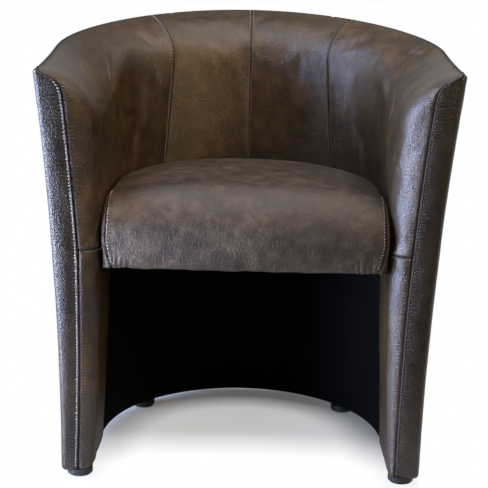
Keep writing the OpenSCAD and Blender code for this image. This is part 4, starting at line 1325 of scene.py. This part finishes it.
def springFelt():
    t = np.radians(np.linspace(9, 171, 50))[None, :]
    v = np.linspace(0, 1, 40)[:, None]
    x = -(seat["half"] - seatFrame["sideIn"]) * np.cos(t) + 0 * v
    y = mix(springLine(x), seat["front"] + seatFrame["pad"] + seatFrame["railThick"] / 3, v)
    z = feltHeight(x, y)
    uneven = 0.0003 * smoothNoise(x / 0.02, y / 0.02, 91)
    top = np.stack([x, y, z + seatFrame["felt"] - 0.0004 + uneven], axis=-1)
    softBlock("felt_pad", top, np.stack([x, y, z + 0.0002], axis=-1), felt, "felt", "spring_felt")


springFelt()
print("seat made")


# Black cloths: lining under the seat, underside of the shell and of the seat
cloths = {
    "thick": 0.0007, "ripple": 0.0009, "smallRipple": 0.0004, "sag": 0.003, "sagReach": 0.1,
    "battenFoot": 0.325, "hemZ": 0.0131,
}


def down(grid):
    return np.array([0.0, 0.0, -1.0]) + 0 * grid


def clothPiece(name, grid, outward, node):
    across, along = lengths(grid, 1), lengths(grid, 0)
    piece = surfacePiece(name, grid, outward)
    finishCover(piece, across, along, blackLook, node, thick=cloths["thick"])


def blackLining():
    foot, head = layers["baseZ"], chair["beltHeight"]
    us, z = np.linspace(1, 3, 160)[None, :], np.linspace(foot, head - 0.0004, 60)[:, None]
    grid = shellPoint(us, z, layers["liningIn"] + 0.0001, 0)
    slack = np.sin(math.pi * (z - foot) / (head - foot)) ** 0.5
    toward = np.array([0.0, -0.05, 0.2]) - grid
    toward[..., 2] = 0
    toward /= np.linalg.norm(toward, axis=-1, keepdims=True)
    ripple = cloths["ripple"] * smoothNoise(us * 26, z / 0.16, 93)
    ripple = ripple + cloths["smallRipple"] * smoothNoise(us * 70, z / 0.05, 94)
    low = z < cloths["battenFoot"]  # the battens lie against it above
    grid = grid + toward * (np.maximum(0, ripple) * slack * low)[..., None]
    clothPiece("lining_cloth", grid, intoTub, "leg_lining")


def shellUnderside():
    us = np.concatenate([np.linspace(0, 1, 24)[:-1], np.linspace(1, 3, 90), np.linspace(3, 4, 24)[1:]])
    us = us[None, :]
    d = np.linspace(0.006, 0.043, 8)[:, None]
    grid = shellPoint(us, layers["baseZ"] + 0 * d, d, 0.012)
    grid[..., 2] = cloths["hemZ"]
    clothPiece("underside_sheet", grid, down, "underside_cloth")


def seatUnderside():
    count = 60
    start = seat["front"] + seatFrame["pad"] + 0.0015
    plan = flatSeat(seatFrame["sideIn"] + 0.0016, np.linspace(0, 1, count), np.linspace(0, 1, 40))
    ahead = np.linspace(start, seat["rollY"], 9)[:-1]
    lead = np.stack([np.stack([plan[0, :, 0], np.full(count, y)], axis=1) for y in ahead])
    plan = np.concatenate([lead, plan])
    x, y = plan[..., 0], plan[..., 1]
    edge = insideOutline(x, y)
    sag = cloths["sag"] * np.clip(edge / cloths["sagReach"], 0, 1) ** 2 * np.clip((y - start) / 0.08, 0, 1)
    grid = np.stack([x, y, seat["bottom"] + 0.00005 - np.where(edge > 0.062, sag, 0)], axis=-1)
    clothPiece("seat_underside", grid, down, "seat_dust_cloth")


blackLining()
shellUnderside()
seatUnderside()
print("cloths made")


# Topstitching: one stitch is modelled once, and copied along each sewn line
stitch = {"length": 0.0032, "pitch": 0.0053, "radius": 0.00085}


def oneStitch():
    deselect()
    bpy.ops.mesh.primitive_uv_sphere_add(segments=6, ring_count=5, radius=1)
    piece = bpy.context.object
    bpy.ops.object.mode_set(mode="EDIT")
    bpy.ops.mesh.select_all(action="SELECT")
    bpy.ops.transform.rotate(value=math.pi / 2, orient_axis="Y", center_override=(0, 0, 0))
    bpy.ops.transform.resize(value=(stitch["length"] / 2, stitch["radius"], stitch["radius"]))
    bpy.ops.object.mode_set(mode="OBJECT")
    co = places(piece)
    # the ends go down into the cover
    co[:, 2] -= stitch["radius"] * 0.9 * (co[:, 0] / (stitch["length"] / 2)) ** 2
    faces = []
    for polygon in piece.data.polygons:  # listed from the lowest corner, so that each run gives the same order
        corners = list(polygon.vertices)
        first = corners.index(min(corners))
        faces.append(corners[first:] + corners[:first])
    bpy.data.objects.remove(piece, do_unlink=True)
    return co, sorted(faces)


stitchPoints, stitchFaces = oneStitch()


def stitchRow(name, line, normals, thread, slot, pitch=None, lift=0.0004, skew=0.0, thin=1.0):
    run = runOf(line)
    count = int(run[-1] / (pitch or stitch["pitch"]))
    points, faces = [], []
    for i in range(count):
        at = (i + 0.5) / count * run[-1]
        ends = [np.array([np.interp(at + o, run, line[:, k]) for k in range(3)]) for o in (-0.001, 0.001)]
        up = np.array([np.interp(at, run, normals[:, k]) for k in range(3)])
        x = ends[1] - ends[0]
        x /= np.linalg.norm(x)
        up = up - x * np.dot(up, x)
        up /= np.linalg.norm(up)
        y = np.cross(up, x)
        x, y = x * math.cos(skew) + y * math.sin(skew), y * math.cos(skew) - x * math.sin(skew)
        middle = (ends[0] + ends[1]) / 2 + up * lift
        section = (stitchPoints[:, 1:2] * y + stitchPoints[:, 2:] * up) * thin
        points.append(middle + stitchPoints[:, :1] * x + section)
        faces += [[v + i * len(stitchPoints) for v in f] for f in stitchFaces]
    piece = newPiece(name, np.concatenate(points), faces)
    choose(piece)
    bpy.ops.object.shade_smooth()
    deselect()
    dress(piece, thread, slot)


def lineAt(grid, normals, distance, at):  # the line at a distance from an edge, one point in each row
    line, up = [], []
    for r in range(grid.shape[0]):
        order = np.argsort(distance[r])
        d = distance[r][order]
        line.append([np.interp(at, d, grid[r, order, k]) for k in range(3)])
        up.append([np.interp(at, d, normals[r, order, k]) for k in range(3)])
    return np.array(line), np.array(up)


def sew(name, made, edge, at, thread, slot, start, end, **options):
    grid, n, across, along = made
    if edge == "top":
        distance = (along[-1:, :] - along).T
        grid, n = grid.transpose(1, 0, 2), n.transpose(1, 0, 2)
    else:
        distance = across[:, -1:] - across if edge == "right" else across
    line, up = lineAt(grid, n, distance, at)
    first, last = int(start * (len(line) - 1)), int(end * (len(line) - 1)) + 1
    stitchRow(name, line[first:last], up[first:last], thread, slot, **options)


pieces = {**outerPieces, **insidePieces, **legPieces, "seat": seatMade}
zigzag, raised = {"skew": 0.9, "thin": 0.75, "pitch": 0.0044}, {"lift": 0.0008, "pitch": 0.0060}
# For each line: piece, its edge, distance from it, thread, slot, start and end along it, options
sewnLines = {
    "band_left": ("outside_left", "left", outer["stitchLine"], litThread, "outer_leather", 0.03, 0.985, {}),
    "band_right": (
        "outside_right", "right", outer["stitchLine"], shadedThread, "outer_leather", 0.03, 0.985, {}),
    "back_left_a": ("inside_left", "right", 0.0023, litThread, "inner_leather", 0, 1, raised),
    "centre_a": ("inside_back_left", "right", 0.0030, shadedThread, "inner_leather", 0, 1, {}),
    "centre_b": ("inside_back_right", "left", 0.0030, shadedThread, "inner_leather", 0, 1, {}),
    "back_right_b": ("inside_right", "left", 0.0026, shadedThread, "inner_leather", 0, 1, {}),
    "arm_left": ("leg_left", "top", 0.0028, shadedThread, "inner_leather", 0.02, 0.9, zigzag),
    "arm_right": ("leg_right", "top", 0.0028, shadedThread, "inner_leather", 0.1, 0.98, zigzag),
    "seat_left": ("seat", "left", seat["stitchLine"], litThread, "seat_leather", 0.04, 0.46, {}),
    "seat_right": ("seat", "right", seat["stitchLine"], shadedThread, "seat_leather", 0.04, 0.46, {}),
}
for name, (pieceName, *settings, options) in sewnLines.items():
    sew("stitches_" + name, pieces[pieceName], *settings, **options)
print("stitches made")


# The camera, at the photograph's angle
view = {
    "yaw": -0.341, "pitch": -11.511, "roll": 1.342, "at": (0.00916, -2.17665, 0.79166),
    "focal": 1236.6, "pictureWidth": 488, "sensor": 36,
}


def makeCamera():
    camera = bpy.data.objects.new("camera", bpy.data.cameras.new("camera"))
    scene.collection.objects.link(camera)
    yaw, pitch, roll = [math.radians(view[key]) for key in ("yaw", "pitch", "roll")]
    ahead = Vector((math.sin(yaw) * math.cos(pitch), math.cos(yaw) * math.cos(pitch), math.sin(pitch)))
    right = Vector((math.cos(yaw), -math.sin(yaw), 0))
    up = right.cross(ahead)
    turnedRight = math.cos(roll) * right + math.sin(roll) * up
    turnedUp = -math.sin(roll) * right + math.cos(roll) * up
    turn = Matrix((turnedRight, turnedUp, -ahead)).transposed().to_4x4()
    camera.matrix_world = Matrix.Translation(view["at"]) @ turn
    camera.data.sensor_width = view["sensor"]
    camera.data.lens = view["focal"] / view["pictureWidth"] * view["sensor"]
    camera.data.clip_end = 60
    scene.camera = camera


makeCamera()


# Floor, backdrop and studio lights
stage = {
    "floorScale": (9, 4.72, 1), "floorMiddle": 4.27, "floor": (0.82, 0.80, 0.76), "shadeWidth": 0.246,
    "shadeDepth": 0.25, "shadeAt": 0.06, "studio": (1.0, 0.96, 0.9, 1), "studioStrength": 0.10,
}


def mixShaders(tree, share, first, second, output):
    blend = addNode(tree, "ShaderNodeMixShader", {0: share})
    tree.links.new(first.outputs[0], blend.inputs[1])
    tree.links.new(second.outputs[0], blend.inputs[2])
    tree.links.new(blend.outputs[0], tree.nodes[output].inputs["Surface"])


def makeFloor():
    bpy.ops.mesh.primitive_plane_add(size=2, location=(0, 0, 0))
    floor = bpy.context.object
    floor.name = "floor"
    deselect()
    floor.scale = stage["floorScale"]
    floor.location.y = stage["floorMiddle"]
    choose(floor)
    bpy.ops.object.transform_apply(location=True, rotation=True, scale=True)
    material, tree, shader = newMaterial("floor_white", stage["floor"], 0.9)
    at = addNode(tree, "ShaderNodeSeparateXYZ", {"Vector": objectPlace(tree)}).outputs
    sideways = sums(tree, "DIVIDE", at["X"], stage["shadeWidth"])
    backward = sums(tree, "DIVIDE", add(tree, at["Y"], stage["shadeAt"]), stage["shadeDepth"])
    backward = greatest(tree, backward, 0.0)
    reach = add(tree, multiply(tree, sideways, sideways), multiply(tree, backward, backward))
    reach = sums(tree, "SQRT", reach)
    # painted light: for the camera, a glow lifts the chair's shadow on the floor, strongest in the middle
    # under the seat and towards the front, fading beside the walls
    inside = mapRange(tree, reach, 0.7, 1.0, 0.5, 0.1)
    ahead = mapRange(tree, at["Y"], -0.02, -0.2, 0, 1)
    outside = mapRange(tree, reach, 1.165, 1.205, 0, 1)
    inside = add(tree, inside, multiply(tree, ahead, 0.75), True)
    ray = addNode(tree, "ShaderNodeLightPath").outputs
    reflected = greatest(tree, ray["Is Glossy Ray"], ray["Is Transmission Ray"])
    seen = greatest(tree, ray["Is Camera Ray"], reflected)
    paintedShadowLift = multiply(tree, inside, ray["Is Camera Ray"])
    white = greatest(tree, paintedShadowLift, multiply(tree, outside, seen))
    glow = addNode(tree, "ShaderNodeEmission", {"Color": (1, 1, 1, 1), "Strength": 1.0})
    mixShaders(tree, white, shader, glow, "Material Output")
    floor.data.materials.append(material)


def makeWorld():
    world = bpy.data.worlds.new("studio")
    scene.world = world
    world.use_nodes = True
    tree = world.node_tree
    dim = tree.nodes["Background"]
    dim.inputs["Color"].default_value = stage["studio"]
    dim.inputs["Strength"].default_value = stage["studioStrength"]
    bright = addNode(tree, "ShaderNodeBackground", {"Color": (1, 1, 1, 1), "Strength": 1.0})
    ray = addNode(tree, "ShaderNodeLightPath").outputs
    # reflections see the white backdrop behind the chair, and the dim studio in front of it
    direction = addNode(tree, "ShaderNodeTexCoord").outputs["Generated"]
    way = addNode(tree, "ShaderNodeSeparateXYZ", {"Vector": direction}).outputs
    level = mapRange(tree, way["Y"], 0.3, 0.6, 0, 1)
    behind = multiply(tree, level, mapRange(tree, way["Z"], 0.25, 0.45, 1, 0))
    reflected = multiply(tree, ray["Is Glossy Ray"], behind)
    reflected = greatest(tree, reflected, ray["Is Transmission Ray"])
    mixShaders(tree, greatest(tree, ray["Is Camera Ray"], reflected), dim, bright, "World Output")


lights = {
    "overhead": {
        "at": (0.30, -0.25, 2.3), "aim": (0, -0.08, 0.45), "size": (2.4, 1.6), "watts": 34,
        "color": (1.0, 0.91, 0.80), "spread": 180},
    "left_side": {
        "at": (-2.2, -0.56, 0.66), "aim": (0.1, -0.05, 0.5), "size": (0.8, 1.0), "watts": 155,
        "color": (0.47, 0.60, 1.0), "spread": 180},
    "left_high": {
        "at": (-1.3, 0.05, 2.3), "aim": (0.15, 0.15, 0.65), "size": (0.8, 0.7), "watts": 38,
        "color": (0.50, 0.62, 1.0), "spread": 180},
    "left_low": {
        "at": (-0.95, -0.85, 0.24), "aim": (-0.31, -0.28, 0.30), "size": (0.3, 0.46), "watts": 4.2,
        "color": (0.55, 0.66, 1.0), "spread": 60},
    "right_key": {
        "at": (1.5, -1.5, 1.4), "aim": (-0.05, 0.25, 0.8), "size": (0.6, 0.8), "watts": 3.4,
        "color": (1.0, 0.78, 0.46), "spread": 70},
}


def makeLights():
    for name, light in lights.items():
        lamp = bpy.data.lights.new(name, "AREA")
        lamp.shape = "RECTANGLE"
        lamp.size, lamp.size_y = light["size"]
        lamp.energy = light["watts"]
        lamp.color = light["color"]
        lamp.spread = math.radians(light["spread"])
        holder = bpy.data.objects.new(name, lamp)
        scene.collection.objects.link(holder)
        holder.location = light["at"]
        holder.visible_camera = False
        toward = Vector(light["aim"]) - Vector(light["at"])
        holder.rotation_euler = toward.to_track_quat("-Z", "Y").to_euler()


makeFloor()
makeWorld()
makeLights()

# Finishes of the CAD nodes that stay, by how their names begin
finishes = (
    (frameWood, (
        "base_board", "seat_rib", "top_rail", "front_post", "lower_stud", "upper_stud", "seat_front_rail",
        "seat_rail", "seat_rear_rail", "seat_corner_blocks", "batten")),
    (hardboard, ("outer_board", "inner_board")),
    (steel, ("seat_springs", "spring_clips", "seat_bolts", "bolt_washers", "glide_nails")),
    (plastic, ("glide_front", "glide_rear")), (wadding, ("outer_wadding",)), (felt, ("spring_felt",)),
    (foam, ("arm_foam", "back_foam", "leg_foam", "seat_foam")),
    (blackCloth, ("leg_lining", "underside_cloth", "seat_dust_cloth")),
    (seatLeather, ("seat_cover", "seat_boxing")),
)
for nodeName, part in nodes.items():
    for finish, starts in finishes:
        if nodeName.startswith(starts):
            part.data.materials.clear()
            part.data.materials.append(finish)

print("ready")
